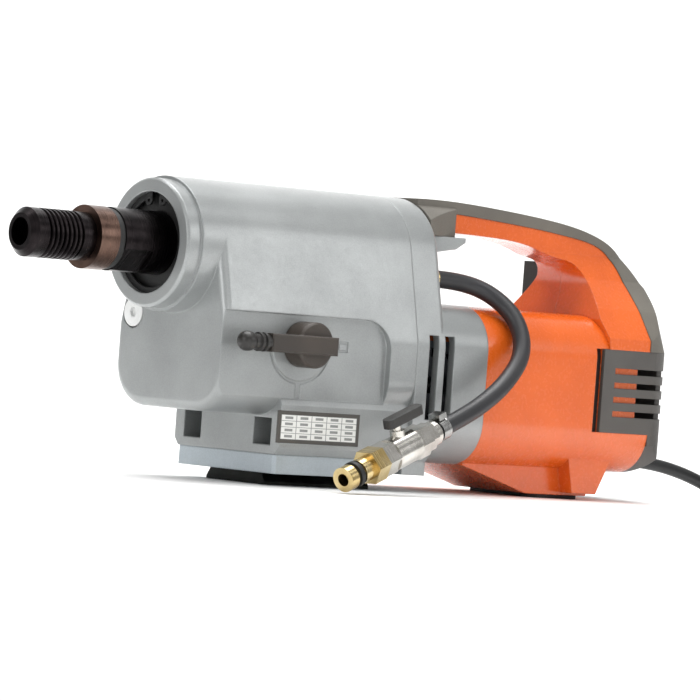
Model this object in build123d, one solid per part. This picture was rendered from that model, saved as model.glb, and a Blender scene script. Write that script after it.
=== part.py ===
from build123d import *
from math import acos, cos, pi, radians, sin, sqrt, tan
import os

# Core drill motor with a three-speed gearbox, a water feed and a mounting plate. Millimetres.
# +X runs from the spindle to the rear, -Y is the selector knob's side, +Z is up.
# The origin is the centre of the mounting plate's underside, which stands on z = 0.

# ---------------------------------------------------------------- driving dimensions
SPINDLE_Z = 151.5
RUNNING_FIT = 0.05
MOVING_GAP = 0.3

# gear case
CASE_HALF_WIDTH = 57.0
CASE_TOP_R = 44.0
CASE_SHOULDER_Z = 124.0
CASE_BOTTOM_Z = 45.5
CASE_CORNER_R = 28.0
CASE_WALL = 4.0
CASE_FRONT_X = -108.0
CASE_REAR_X = 56.0
CASE_INSIDE_X = -97.0
NOSE_X = -133.0
NOSE_STEP_X = -122.0
NOSE_R = 42.0
NOSE_BORE_R = 33.0
RECESS_DEPTH = 5.0
RECESS_TOP_Z = 112.0
RECESS_BOTTOM_Z = 57.0
RECESS_REAR_X = 33.0
MARK_ARC_R = 24.0
MARK_WIDTH = 2.0
MARK_DEPTH = 0.8
PLUG_Y = 41.0
PLUG_Z = 106.0
PLUG_R_FRONT = 9.5
CLIP_X = (-129.0, -127.4)
CLIP_R = 34.4
SIDE_SLOT_Y = (27.0, 45.0)
SIDE_SLOT_Z = (26.5, 44.0)
LABEL_X = (-57.0, 12.5)
LABEL_Z = (28.5, 49.5)
LABEL_DEPTH = 1.5
LABEL_BORDER = 2.5
FORK_POCKET_Z = (66.0, 90.0)
ROOM_WALL_Y = -CASE_HALF_WIDTH + RECESS_DEPTH + CASE_WALL
BORE_LIP_X = CASE_INSIDE_X - 19
PLUG_SHANK_R = 6.0
PLUG_HEAD = 3.0

# lower block, adapter plate and mounting plate
BLOCK_FRONT_X = -55.0
BLOCK_REAR_X = 76.0
BLOCK_HALF_WIDTH = 50.0
BLOCK_FLARE = 4.0
ADAPTER_TOP_Z = 20.5
PLATE_TOP_Z = 8.0
ADAPTER_REAR_X = 44.0
PLATE_LENGTH = 90.0
PLATE_WIDTH = 60.0
PLATE_BEVEL = 4.0
PLATE_SCREW_X = 64.0
PLATE_SCREW_Y = 32.0
PLATE_SCREW_R = 4.0
PLATE_SCREW_HEAD_R = 6.5
PLATE_SCREW_HEAD = 5.0

# middle casting
WALL_REAR_X = 65.0
UPPER_REAR_X = 82.0
MOTOR_FRONT_X = 119.0
VENT_WIDTH = 8.5
VENT_LOW_Z = 49.0
VENT_HIGH_Z = 105.0
VENT_X = (66.5, 80.5)
LUG_REAR_X = 121.0
LUG_HALF_WIDTH = 24.0
LUG_LOW_Z = 164.0
LUG_TOP_Z = 172.0

# spindle
SPINDLE_TIP_X = -236.0
THREAD_R = 15.875
THREAD_PITCH = 3.629
THREAD_DEPTH = 1.9
THREAD_REAR_X = -196.0
NECK_R = 15.6
COLLAR_R = 20.5
COLLAR_FRONT_X = -166.0
COLLAR_REAR_X = -116.0
RELEASE_RING_FRONT_X = -186.0
RELEASE_RING_REAR_X = -171.0
FLAT_ACROSS = 36.0
FLAT_REAR_X = -143.0
WATER_BORE_R = 6.0
TIP_BORE_R = 9.0
TIP_BORE_DEPTH = 12.0
SPINDLE_END_X = 70.0
SPINDLE_BEARING_SEAT_R = 17.5
SPINDLE_GEAR_SEAT_R = 15.0
SPINDLE_SHAFT_R = 12.5
SPINDLE_TAIL_R = 10.0

# gear train: teeth, module (mm), centres measured from the spindle axis in Y and Z
ADDENDUM = 0.7
DEDENDUM = 1.0
PRESSURE_ANGLE = radians(20)
BACKLASH = 0.2
SPINDLE_TEETH = 40
OUTPUT_TEETH = 12
OUTPUT_MODULE = 1.75
FREE_TEETH = (32, 27, 23)
CLUSTER_TEETH = (14, 19, 23)
CHANGE_MODULE = 1.5
FIRST_TEETH = 38
PINION_TEETH = 11
FIRST_MODULE = 1.25
SHAFT_B_Y = -20.0
SHAFT_A_Y = 12.62
OUTPUT_GEAR_X = -86.0
OUTPUT_GEAR_WIDTH = 16.0
CHANGE_X = -66.0
CHANGE_PITCH = 10.0 * pi / 2
CHANGE_WIDTH = 12.0
FIRST_X = 38.0
FIRST_WIDTH = 12.0
GEAR_SHAFT_R = 8.0
SEAT_R = 6.0
BEARING_R = 14.0
BEARING_WIDTH = 8.0
KEY_WIDTH = 3.0
KEY_THICKNESS = 4.0
KEY_TIP_R = 10.5
KEY_FLANGE = 2.0
DRAW_ROD_R = 4.0
COLLAR_X = -14.0
COLLAR_WIDTH = 12.0
SHIFT_COLLAR_R = 14.0
GROOVE_R = 10.5
GROOVE_WIDTH = 5.0
BOSS_R = BEARING_R + 4
FRONT_BEARING = (-114.0, -97.0)
FRONT_BEARING_R = 36.0
LIP_R = 30.0
SHAFT_FRONT = (CASE_INSIDE_X + 1, CASE_INSIDE_X + 1 + BEARING_WIDTH)
SHAFT_REAR = (CASE_REAR_X - 1, CASE_REAR_X - 1 + BEARING_WIDTH)
REAR_SPINDLE_BEARING = (CASE_REAR_X - 1, CASE_REAR_X + 11)
REAR_SPINDLE_BEARING_R = 22.0
FRONT_MOTOR_BEARING = (CASE_REAR_X + 2, CASE_REAR_X + 10)

# selector
KNOB_X = -41.0
KNOB_Z = 93.0
KNOB_R = 15.0
KNOB_HEIGHT = 16.0
LEVER_WIDTH = 12.0
LEVER_THICKNESS = 7.0
LEVER_REACH = 43.0
LEVER_TAIL = 13.0
TIP_LENGTH = 24.0
TIP_R = 6.5
RACK_TEETH = 20
RACK_MODULE = 1.0
SELECTOR_SHAFT_R = 5.0
RAIL_R = 3.5
RAIL_Y = -42.0
RAIL_Z = 75.0
RECESS_FLOOR_Y = -CASE_HALF_WIDTH + RECESS_DEPTH
KNOB_BASE_Y = RECESS_FLOOR_Y - MOVING_GAP
RACK_Y = (ROOM_WALL_Y + 0.5, ROOM_WALL_Y + 5.5)

# motor and housing
HOUSING_REAR_X = 262.0
HOUSING_FLOOR_REAR_X = 273.0
HOUSING_LOW_Z = 19.5
HOUSING_HIGH_Z = 126.5
HOUSING_CORNER_R = 30.0
HOUSING_WALL = 4.0
WING_FRONT_X = 227.0
WING_LOW_Z = 47.5
WING_HIGH_Z = 104.5
WING_DEPTH = 3.0
ARMATURE_R = 24.0
ARMATURE_X = (120.0, 182.0)
STATOR_X = (122.0, 180.0)
STATOR_BORE_R = 25.0
FAN_R = 42.0
FAN_X = (73.0, 86.0)
FAN_BLADES = 12
COMMUTATOR_R = 15.0
COMMUTATOR_X = (196.0, 214.0)
BRACKET_X = (222.0, 234.0)
BRUSH_SIZE = (10.0, 6.5)
SHAFT_REAR_X = 232.0

# handle, grip band and rear cover
GRIP_HALF_WIDTH = 15.5
BAND_PROUD = 0.8
COVER_REAR_X = 302.0
COVER_WALL = 3.5
REAR_CORNER_R = 33.0
REAR_CORNER_TOP_R = 50.0
REAR_LEAN = 33.0
SLOT_HEIGHT = 4.0
SLOT_PITCH = 9.8
SLOT_FRONT_X = 238.0
SLOT_COUNT = 4
SLOT_INNER_Y = 41.0
SLOT_TOP_Z = 90.0
WING_GAP = 7.0
SOCKET_REAR_X = 116.0
GRIP_LOW_Z = 175.0

# rocker switch on the far side of the handle post
SWITCH_X = (238.0, 256.0)
SWITCH_Z = (134.0, 162.0)
SWITCH_FACE_Y = 43.0
ROCKER_PIN_R = 1.5
ROCKER_PIVOT_Y = 42.0

# foot and pad
FOOT_Z = 2.5
FOOT_HALF_WIDTH = 36.0
PAD_X = (190.0, 236.0)
PAD_HALF_WIDTH = 34.0

# water hose: outside radius and the corners of its route from the union to the valve
HOSE_R = 6.0
HOSE_ROUTE = [
    (88.0, -30.0, 143.0),
    (113.0, -30.0, 143.0),
    (134.0, -41.0, 135.5),
    (143.5, -58.5, 118.5),
    (138.0, -71.5, 96.0),
    (118.5, -76.5, 76.0),
    (93.0, -83.0, 61.5),
    (66.0, -89.55, 50.4),
    (42.0, -94.0, 41.5),
]
VALVE_LENGTH = 96.0
STEM_AT = 36.0
BALL_R = 8.5
BORE_R = 4.5
UNION_Y = HOSE_ROUTE[0][1]
UNION_Z = HOSE_ROUTE[0][2]
UNION_BORE_R = 4.5

# power cord: radius and the corners of its route from the strain relief to the coil
CORD_R = 4.5
CORD_ROUTE = [
    (312.0, 25.0, 27.0),
    (348.0, 25.0, 27.0),
    (392.0, 25.0, 20.0),
    (434.0, 25.0, 5.0),
    (470.0, 25.0, 4.7),
]
RELIEF_FRONT_X = 274.0
RELIEF_STEP_X = 292.0
RELIEF_SHELL_R = 9.0
RELIEF_R = 7.0
RELIEF_RINGS = (296, 300, 304, 308)
# coil of the put-away length: 12 turns, three beside each other and four high
COIL_CENTRE = (496.0, -34.0)
COIL_R = 50.0
COIL_WIDTH = 29.0
COIL_HEIGHT = 37.0
FLOOR_GAP = 0.2
TAIL_ROUTE = [
    (470.0, -93.0, 31.7),
    (444.0, -93.0, 31.7),
    (409.0, -93.0, 18.2),
    (382.0, -93.0, 18.2),
]
PLUG_R = 18.0
PLUG_LENGTH = 44.0
PIN_R = 2.4
PIN_LENGTH = 19.0
PIN_SPACING = 19.0


# ---------------------------------------------------------------- helpers
def across(x):
    """Plane facing +X at x: its first direction is Y and its second is Z."""
    return Plane(origin=(x, 0, 0), x_dir=(0, 1, 0), z_dir=(1, 0, 0))


def side_plane(y=0.0):
    """Plane facing -Y at y: its first direction is X and its second is Z."""
    return Plane(origin=(0, y, 0), x_dir=(1, 0, 0), z_dir=(0, -1, 0))


def rod(radius, start_x, end_x, y=0.0, z=SPINDLE_Z):
    """Cylinder along X."""
    place = Plane(origin=(start_x, y, z), x_dir=(0, 1, 0), z_dir=(1, 0, 0))
    return place * Cylinder(radius, end_x - start_x, align=(Align.CENTER, Align.CENTER, Align.MIN))


def tube(outer, inner, start_x, end_x, y=0.0, z=SPINDLE_Z):
    """Ring along X."""
    return rod(outer, start_x, end_x, y, z) - rod(inner, start_x, end_x, y, z)


def upright(radius, x, y, low_z, high_z):
    """Cylinder along Z."""
    return Pos(x, y, low_z) * Cylinder(radius, high_z - low_z, align=(Align.CENTER, Align.CENTER, Align.MIN))


def block(low, high):
    """Box between two corners."""
    size = [b - a for a, b in zip(low, high)]
    middle = [(a + b) / 2 for a, b in zip(low, high)]
    return Pos(*middle) * Box(*size)


def slab(profile, half_width):
    """Outline in the X-Z plane made as wide as twice half_width, about y = 0."""
    return extrude(side_plane() * profile, amount=half_width, both=True)


def involute_gear(teeth, module, start_x, width, y, z, phase, bore=0.0):
    """Spur gear along X with one tooth centred at the angle phase from +Y towards +Z."""
    pitch_r = teeth * module / 2
    base_r = pitch_r * cos(PRESSURE_ANGLE)
    tip_r = pitch_r + ADDENDUM * module
    root_r = pitch_r - DEDENDUM * module
    half = pi / (2 * teeth) - BACKLASH / (2 * pitch_r)
    roll = tan(PRESSURE_ANGLE) - PRESSURE_ANGLE

    def half_angle(r):
        turn = acos(min(1.0, base_r / r))
        return half + roll - (tan(turn) - turn)

    low_r = max(base_r, root_r)
    flank = [root_r, low_r] + [low_r + (tip_r - low_r) * k / 3 for k in (1, 2, 3)]
    if root_r >= base_r:
        flank = flank[1:]
    points = []
    for tooth in range(teeth):
        middle = phase + 2 * pi * tooth / teeth
        points += [(r, middle - half_angle(max(r, base_r))) for r in flank]
        points += [(r, middle + half_angle(max(r, base_r))) for r in reversed(flank)]
    outline = Polyline(*[(r * cos(a), r * sin(a)) for r, a in points], close=True)
    face = make_face(outline)
    if bore:
        face -= Circle(bore)
    place = Plane(origin=(start_x, y, z), x_dir=(0, 1, 0), z_dir=(1, 0, 0))
    return extrude(place * face, amount=width)


def mating_phase(phase, teeth, mate_teeth, direction):
    """Phase of a mate whose gap meets the tooth of a gear; direction is the angle from gear to mate."""
    offset = (direction - phase) * teeth / mate_teeth
    return direction + pi + offset + pi / mate_teeth


def fillet_radii(points):
    """Bend radius at each inner corner of a route, from its shorter run and its turn."""
    radii = []
    for before, corner, after in zip(points, points[1:], points[2:]):
        first = Vector(*corner) - Vector(*before)
        second = Vector(*after) - Vector(*corner)
        turn = radians(first.get_angle(second))
        radii.append(0.45 * min(first.length, second.length) / tan(turn / 2))
    return radii


def cord(points, radius, name):
    """Round cord along a route of straight runs with tangent arcs."""
    radii = fillet_radii(points)
    path = FilletPolyline(*points, radius=radii)
    print(name, "bend radii", [round(r, 1) for r in radii], "length", round(path.length, 1))
    section = Plane(origin=path @ 0, z_dir=path % 0) * Circle(radius)
    return sweep(section, path=path)


nodes = {}

# ---------------------------------------------------------------- gear centres
SHAFT_B_DROP = sqrt(((SPINDLE_TEETH + OUTPUT_TEETH) * OUTPUT_MODULE / 2) ** 2 - SHAFT_B_Y ** 2)
SHAFT_B_Z = SPINDLE_Z - SHAFT_B_DROP
change_centres = (FREE_TEETH[0] + CLUSTER_TEETH[0]) * CHANGE_MODULE / 2
SHAFT_A_Z = SHAFT_B_Z - sqrt(change_centres ** 2 - (SHAFT_A_Y - SHAFT_B_Y) ** 2)
first_centres = (FIRST_TEETH + PINION_TEETH) * FIRST_MODULE / 2
MOTOR_Z = SHAFT_A_Z - sqrt(first_centres ** 2 - SHAFT_A_Y ** 2)
print("spindle", SPINDLE_Z, "shaft B", SHAFT_B_Z, "shaft A", SHAFT_A_Z, "motor", MOTOR_Z)

# ---------------------------------------------------------------- gear case
def case_outline(inset=0.0):
    """Outline across the gear case: a round top over the spindle, wide square shoulders below."""
    top = Pos(0, SPINDLE_Z) * Circle(CASE_TOP_R - inset)
    height = CASE_SHOULDER_Z - CASE_BOTTOM_Z - 2 * inset
    middle = Pos(0, (CASE_SHOULDER_Z + CASE_BOTTOM_Z) / 2)
    lower = middle * RectangleRounded(2 * (CASE_HALF_WIDTH - inset), height, CASE_CORNER_R - inset)
    return make_hull(top.edges() + lower.edges())


def gear_room_outline():
    """Outline across the room for the gears, clear of the spindle gear and behind the side recess."""
    inset = CASE_WALL + RECESS_DEPTH
    top = Pos(0, SPINDLE_Z) * Circle(CASE_TOP_R - CASE_WALL - 1)
    height = CASE_SHOULDER_Z - CASE_BOTTOM_Z - 2 * inset
    middle = Pos(0, (CASE_SHOULDER_Z + CASE_BOTTOM_Z) / 2)
    lower = middle * RectangleRounded(2 * (CASE_HALF_WIDTH - inset), height, CASE_CORNER_R - inset)
    return make_hull(top.edges() + lower.edges())


def motor_outline(inset=0.0):
    """Outline across the motor body."""
    height = HOUSING_HIGH_Z - HOUSING_LOW_Z - 2 * inset
    middle = Pos(0, (HOUSING_HIGH_Z + HOUSING_LOW_Z) / 2)
    return middle * RectangleRounded(2 * (CASE_HALF_WIDTH - inset), height, HOUSING_CORNER_R - inset)


def prism(outline, start_x, end_x):
    """Outline in Y-Z carried along X."""
    return extrude(across(start_x) * outline, amount=end_x - start_x)


def block_outline(inset=0.0):
    """Outline across the foot block, flared where the label sits."""
    low = BLOCK_HALF_WIDTH - inset
    wide = low + BLOCK_FLARE
    points = [(-low, ADAPTER_TOP_Z), (-wide, ADAPTER_TOP_Z + 5), (-wide, CASE_BOTTOM_Z + 8)]
    points += [(-low, CASE_BOTTOM_Z + 18)]
    points += [(-y, z) for y, z in reversed(points)]
    return make_face(Polyline(*points, close=True))


bearing_seats = [(SHAFT_B_Y, SHAFT_B_Z), (SHAFT_A_Y, SHAFT_A_Z)]

shell = prism(case_outline(), CASE_FRONT_X, CASE_REAR_X)
shell = fillet(shell.faces().sort_by(Axis.X)[0].edges(), 6)
foot_block = prism(block_outline(), BLOCK_FRONT_X, CASE_REAR_X)
nose = rod(NOSE_R, NOSE_X, NOSE_STEP_X) + rod(CASE_TOP_R, NOSE_STEP_X, CASE_INSIDE_X)
nose = chamfer(nose.faces().sort_by(Axis.X)[0].edges(), 1.5)
case = shell + foot_block + nose
case -= prism(gear_room_outline(), CASE_INSIDE_X, CASE_REAR_X)
for y, z in bearing_seats:
    case += rod(BOSS_R, CASE_INSIDE_X - 2, SHAFT_FRONT[1], y, z)
    case -= rod(BEARING_R, SHAFT_FRONT[0], SHAFT_FRONT[1], y, z)
case -= rod(NOSE_BORE_R, NOSE_X, BORE_LIP_X)
case -= rod(LIP_R, BORE_LIP_X, FRONT_BEARING[0])
case -= rod(FRONT_BEARING_R, *FRONT_BEARING)
case -= rod(CLIP_R, *CLIP_X)
recess = block((CASE_FRONT_X - 8, -CASE_HALF_WIDTH - 5, RECESS_BOTTOM_Z),
               (RECESS_REAR_X, -CASE_HALF_WIDTH + RECESS_DEPTH, RECESS_TOP_Z))
recess = fillet(recess.edges().filter_by(Axis.Y).group_by(Axis.X)[-1].sort_by(Axis.Z)[-1:], 20)
case -= recess
marks = Pos(KNOB_X, KNOB_Z) * (Circle(MARK_ARC_R + MARK_WIDTH) - Circle(MARK_ARC_R))
marks &= Pos(KNOB_X, KNOB_Z - MARK_ARC_R) * Rectangle(3 * MARK_ARC_R, 2 * MARK_ARC_R)
marks += Pos(KNOB_X, RECESS_BOTTOM_Z + 6) * Rectangle(2 * MARK_WIDTH, 10)
marks += Pos(KNOB_X + 36, KNOB_Z) * (Rectangle(9, 7) - Rectangle(6, 4))
case -= extrude(side_plane(-CASE_HALF_WIDTH + RECESS_DEPTH + MARK_DEPTH) * marks, amount=2)
case -= rod(PLUG_R_FRONT + 1, CASE_FRONT_X, CASE_FRONT_X + PLUG_HEAD, PLUG_Y, PLUG_Z)
case -= rod(PLUG_SHANK_R, CASE_FRONT_X + PLUG_HEAD, CASE_INSIDE_X, PLUG_Y, PLUG_Z)
case -= Plane(origin=(KNOB_X, RECESS_FLOOR_Y - 1, KNOB_Z), z_dir=(0, 1, 0)) * Cylinder(
    SELECTOR_SHAFT_R + RUNNING_FIT, CASE_WALL + 8, align=(Align.CENTER, Align.CENTER, Align.MIN))
for side in (-1, 1):
    low_y, high_y = sorted((side * SIDE_SLOT_Y[0], side * SIDE_SLOT_Y[1]))
    case -= block((BLOCK_FRONT_X - 1, low_y, SIDE_SLOT_Z[0]), (BLOCK_FRONT_X + 20, high_y, SIDE_SLOT_Z[1]))
case -= block((BLOCK_FRONT_X + 28, -36, ADAPTER_TOP_Z), (CASE_REAR_X - 8, 36, ADAPTER_TOP_Z + 18))
side_face = -BLOCK_HALF_WIDTH - BLOCK_FLARE
case -= block((LABEL_X[0], side_face - 1, LABEL_Z[0]), (LABEL_X[1], side_face + LABEL_DEPTH, LABEL_Z[1]))
case -= block((CASE_INSIDE_X, ROOM_WALL_Y, FORK_POCKET_Z[0]), (CASE_REAR_X, RAIL_Y + 8, FORK_POCKET_Z[1]))
case -= Plane(origin=(KNOB_X, ROOM_WALL_Y, KNOB_Z), z_dir=(0, 1, 0)) * Cylinder(
    RACK_TEETH * RACK_MODULE / 2 + 2, 10, align=(Align.CENTER, Align.CENTER, Align.MIN))
nodes["gear_case"] = case

# ---------------------------------------------------------------- middle casting

middle = prism(case_outline(), CASE_REAR_X, UPPER_REAR_X)
middle = fillet(middle.faces().sort_by(Axis.X)[-1].edges(), 5)
middle += prism(motor_outline(), CASE_REAR_X, MOTOR_FRONT_X)
middle += prism(block_outline(), CASE_REAR_X, BLOCK_REAR_X)
middle += block((ADAPTER_REAR_X + 6, -BLOCK_HALF_WIDTH, 11.5),
                (BLOCK_REAR_X, BLOCK_HALF_WIDTH, ADAPTER_TOP_Z))
middle -= block((ADAPTER_REAR_X, -60, 0), (CASE_REAR_X, 60, ADAPTER_TOP_Z))
lug = [(UPPER_REAR_X - 6, LUG_LOW_Z - 6), (LUG_REAR_X - 8, LUG_LOW_Z), (LUG_REAR_X, LUG_LOW_Z + 5)]
lug += [(LUG_REAR_X, LUG_TOP_Z), (UPPER_REAR_X - 6, LUG_TOP_Z)]
middle += slab(make_face(Polyline(*lug, close=True)), LUG_HALF_WIDTH)
motor_room = prism(motor_outline(HOUSING_WALL + 2), WALL_REAR_X, MOTOR_FRONT_X)
middle -= motor_room
middle -= rod(REAR_SPINDLE_BEARING_R, CASE_REAR_X, REAR_SPINDLE_BEARING[1])
middle -= rod(12, REAR_SPINDLE_BEARING[1], SPINDLE_END_X + 4)
middle -= rod(UNION_BORE_R, SPINDLE_END_X, UPPER_REAR_X, UNION_Y, UNION_Z)
middle -= block((SPINDLE_END_X, UNION_Y, UNION_Z - 3), (SPINDLE_END_X + 4, 0, UNION_Z + 3))
middle += rod(BOSS_R, WALL_REAR_X - 3, FRONT_MOTOR_BEARING[1], 0, MOTOR_Z)
for y, z in bearing_seats:
    middle -= rod(BEARING_R, CASE_REAR_X, SHAFT_REAR[1], y, z)
middle -= rod(BEARING_R, *FRONT_MOTOR_BEARING, 0, MOTOR_Z)
middle -= rod(10, CASE_REAR_X, FRONT_MOTOR_BEARING[0], 0, MOTOR_Z)
for x in VENT_X:
    for side in (-1, 1):
        low_y, high_y = sorted((side * (CASE_HALF_WIDTH - 14), side * (CASE_HALF_WIDTH + 2)))
        middle -= block((x, low_y, VENT_LOW_Z), (x + VENT_WIDTH, high_y, VENT_HIGH_Z))
nodes["middle_casting"] = middle

# ---------------------------------------------------------------- foot: adapter and mounting plate
adapter = block((BLOCK_FRONT_X, -BLOCK_HALF_WIDTH, PLATE_TOP_Z),
                (ADAPTER_REAR_X, BLOCK_HALF_WIDTH, ADAPTER_TOP_Z))
adapter = chamfer(adapter.edges().filter_by(Axis.Z), 2)
plate_half = PLATE_WIDTH / 2
plate_points = [(-plate_half, 0), (-plate_half, 2), (PLATE_BEVEL - plate_half, PLATE_TOP_Z)]
plate_points += [(-y, z) for y, z in reversed(plate_points)]
plate = prism(make_face(Polyline(*plate_points, close=True)), -PLATE_LENGTH / 2, PLATE_LENGTH / 2)
screw_places = [(x * PLATE_SCREW_X / 2, y * PLATE_SCREW_Y / 2) for x in (-1, 1) for y in (-1, 1)]
plate_screws = []
for x, y in screw_places:
    head = upright(PLATE_SCREW_HEAD_R, x, y, 1, 1 + PLATE_SCREW_HEAD)
    shank = upright(PLATE_SCREW_R, x, y, 1, PLATE_TOP_Z + 15)
    socket = Pos(x, y, 1) * extrude(RegularPolygon(3.5, 6), amount=3)
    plate_screws.append(head + shank - socket)
    plate -= upright(PLATE_SCREW_HEAD_R, x, y, 0, 1 + PLATE_SCREW_HEAD)
    plate -= shank
    adapter -= shank
    case -= shank
nodes["gear_case"] = case
nodes["adapter_plate"] = adapter
nodes["mounting_plate"] = plate
nodes["plate_screws"] = Compound(children=plate_screws)

# ---------------------------------------------------------------- nose fittings and plug screw
nodes["nose_seal"] = tube(NOSE_BORE_R, COLLAR_R + RUNNING_FIT, -124.5, BORE_LIP_X)
clip = tube(CLIP_R, NOSE_BORE_R - 4, CLIP_X[0] + 0.1, CLIP_X[1] - 0.1)
clip -= block((CLIP_X[0] - 1, -4, SPINDLE_Z), (CLIP_X[1] + 1, 4, SPINDLE_Z + 40))
for side in (-1, 1):
    clip += rod(3.5, CLIP_X[0] + 0.1, CLIP_X[1] - 0.1, side * 7, SPINDLE_Z + 27.5) - rod(
        1.2, CLIP_X[0], CLIP_X[1], side * 7, SPINDLE_Z + 27.5)
nodes["nose_clip"] = clip
plug_screw = rod(PLUG_R_FRONT, CASE_FRONT_X, CASE_FRONT_X + PLUG_HEAD, PLUG_Y, PLUG_Z)
plug_screw += rod(PLUG_SHANK_R, CASE_FRONT_X + PLUG_HEAD, CASE_INSIDE_X, PLUG_Y, PLUG_Z)
plug_screw -= across(CASE_FRONT_X) * Pos(PLUG_Y, PLUG_Z) * extrude(RegularPolygon(3.4, 6), amount=2)
nodes["plug_screw"] = plug_screw

# ---------------------------------------------------------------- spindle
spindle = rod(THREAD_R, SPINDLE_TIP_X, THREAD_REAR_X)
spindle = chamfer(spindle.faces().sort_by(Axis.X)[0].edges(), 4)
groove_count = int((THREAD_REAR_X - SPINDLE_TIP_X - 9) / THREAD_PITCH)
helix = Helix(THREAD_PITCH, THREAD_PITCH * groove_count, THREAD_R,
              center=(THREAD_REAR_X, 0, SPINDLE_Z), direction=(-1, 0, 0))
groove_plane = Plane(origin=helix @ 0, z_dir=helix % 0, x_dir=(1, 0, 0))
groove_half = THREAD_PITCH / 2 - 0.3
groove_points = [(-groove_half, -0.4), (groove_half, -0.4), (0.25, THREAD_DEPTH), (-0.25, THREAD_DEPTH)]
groove = sweep(groove_plane * make_face(Polyline(*groove_points, close=True)), path=helix, is_frenet=True)
spindle -= groove
spindle += rod(NECK_R, THREAD_REAR_X, COLLAR_FRONT_X)
collar = rod(COLLAR_R, COLLAR_FRONT_X, COLLAR_REAR_X)
for turn in (45, 225):
    flat = block((COLLAR_FRONT_X, FLAT_ACROSS / 2, -COLLAR_R), (FLAT_REAR_X, COLLAR_R + 1, COLLAR_R))
    collar -= Pos(0, 0, SPINDLE_Z) * Rot(turn, 0, 0) * flat
spindle += collar
spindle += rod(SPINDLE_BEARING_SEAT_R, COLLAR_REAR_X, FRONT_BEARING[1] + 1)
spindle += rod(SPINDLE_GEAR_SEAT_R, FRONT_BEARING[1] + 1, OUTPUT_GEAR_X + OUTPUT_GEAR_WIDTH)
spindle += rod(SPINDLE_SHAFT_R, OUTPUT_GEAR_X + OUTPUT_GEAR_WIDTH, REAR_SPINDLE_BEARING[0] - 1)
spindle += rod(SPINDLE_TAIL_R, REAR_SPINDLE_BEARING[0] - 1, SPINDLE_END_X)
spindle -= rod(WATER_BORE_R, SPINDLE_TIP_X, SPINDLE_END_X)
spindle -= rod(TIP_BORE_R, SPINDLE_TIP_X, SPINDLE_TIP_X + TIP_BORE_DEPTH)
nodes["spindle"] = spindle
nodes["release_ring"] = tube(COLLAR_R, NECK_R, RELEASE_RING_FRONT_X, RELEASE_RING_REAR_X)
nodes["slinger_ring"] = tube(COLLAR_R - 0.8, NECK_R, RELEASE_RING_REAR_X, COLLAR_FRONT_X)

# ---------------------------------------------------------------- gear train
to_b = acos(-SHAFT_B_Y / ((SPINDLE_TEETH + OUTPUT_TEETH) * OUTPUT_MODULE / 2)) - pi
to_a = -acos((SHAFT_A_Y - SHAFT_B_Y) / change_centres)
to_motor = -acos(-SHAFT_A_Y / first_centres)
nodes["spindle_gear"] = involute_gear(
    SPINDLE_TEETH, OUTPUT_MODULE, OUTPUT_GEAR_X, OUTPUT_GEAR_WIDTH, 0, SPINDLE_Z, to_b,
    bore=SPINDLE_GEAR_SEAT_R)
output_phase = mating_phase(to_b, SPINDLE_TEETH, OUTPUT_TEETH, to_b)
shaft_b = involute_gear(
    OUTPUT_TEETH, OUTPUT_MODULE, OUTPUT_GEAR_X, OUTPUT_GEAR_WIDTH, SHAFT_B_Y, SHAFT_B_Z, output_phase)
shaft_b += rod(SEAT_R, SHAFT_FRONT[0], OUTPUT_GEAR_X, SHAFT_B_Y, SHAFT_B_Z)
shaft_b += rod(GEAR_SHAFT_R, OUTPUT_GEAR_X + OUTPUT_GEAR_WIDTH, SHAFT_REAR[0] - 1, SHAFT_B_Y, SHAFT_B_Z)
shaft_b += rod(SEAT_R, SHAFT_REAR[0] - 1, SHAFT_REAR[1], SHAFT_B_Y, SHAFT_B_Z)
key_middle = CHANGE_X + CHANGE_WIDTH / 2
travel = 2 * CHANGE_PITCH
shaft_b -= rod(DRAW_ROD_R + RUNNING_FIT, key_middle - 4, SHAFT_REAR[1], SHAFT_B_Y, SHAFT_B_Z)
slot_half = KEY_THICKNESS / 2 + 0.1
pin_x = COLLAR_X + COLLAR_WIDTH / 2
for middle_x in (key_middle, pin_x):
    start = middle_x - KEY_WIDTH / 2 - 0.5
    shaft_b -= block((start, SHAFT_B_Y - 12, SHAFT_B_Z - slot_half),
                     (middle_x + travel + KEY_WIDTH / 2 + 0.5, SHAFT_B_Y + 12, SHAFT_B_Z + slot_half))
nodes["output_shaft"] = shaft_b

draw_key = rod(DRAW_ROD_R, key_middle - KEY_WIDTH / 2, pin_x + KEY_WIDTH / 2, SHAFT_B_Y, SHAFT_B_Z)
draw_key += block((key_middle - KEY_WIDTH / 2, SHAFT_B_Y - KEY_TIP_R, SHAFT_B_Z - KEY_THICKNESS / 2),
                  (key_middle + KEY_WIDTH / 2, SHAFT_B_Y + KEY_TIP_R, SHAFT_B_Z + KEY_THICKNESS / 2))
pin_reach = GEAR_SHAFT_R + 1
draw_key += block((pin_x - KEY_WIDTH / 2, SHAFT_B_Y - pin_reach, SHAFT_B_Z - KEY_THICKNESS / 2),
                  (pin_x + KEY_WIDTH / 2, SHAFT_B_Y + pin_reach, SHAFT_B_Z + KEY_THICKNESS / 2))
shift_collar = tube(SHIFT_COLLAR_R, GEAR_SHAFT_R + RUNNING_FIT, COLLAR_X, COLLAR_X + COLLAR_WIDTH,
                    SHAFT_B_Y, SHAFT_B_Z)
shift_collar -= tube(SHIFT_COLLAR_R + 1, GROOVE_R, pin_x - GROOVE_WIDTH / 2, pin_x + GROOVE_WIDTH / 2,
                     SHAFT_B_Y, SHAFT_B_Z)
nodes["draw_key"] = draw_key + shift_collar

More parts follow.
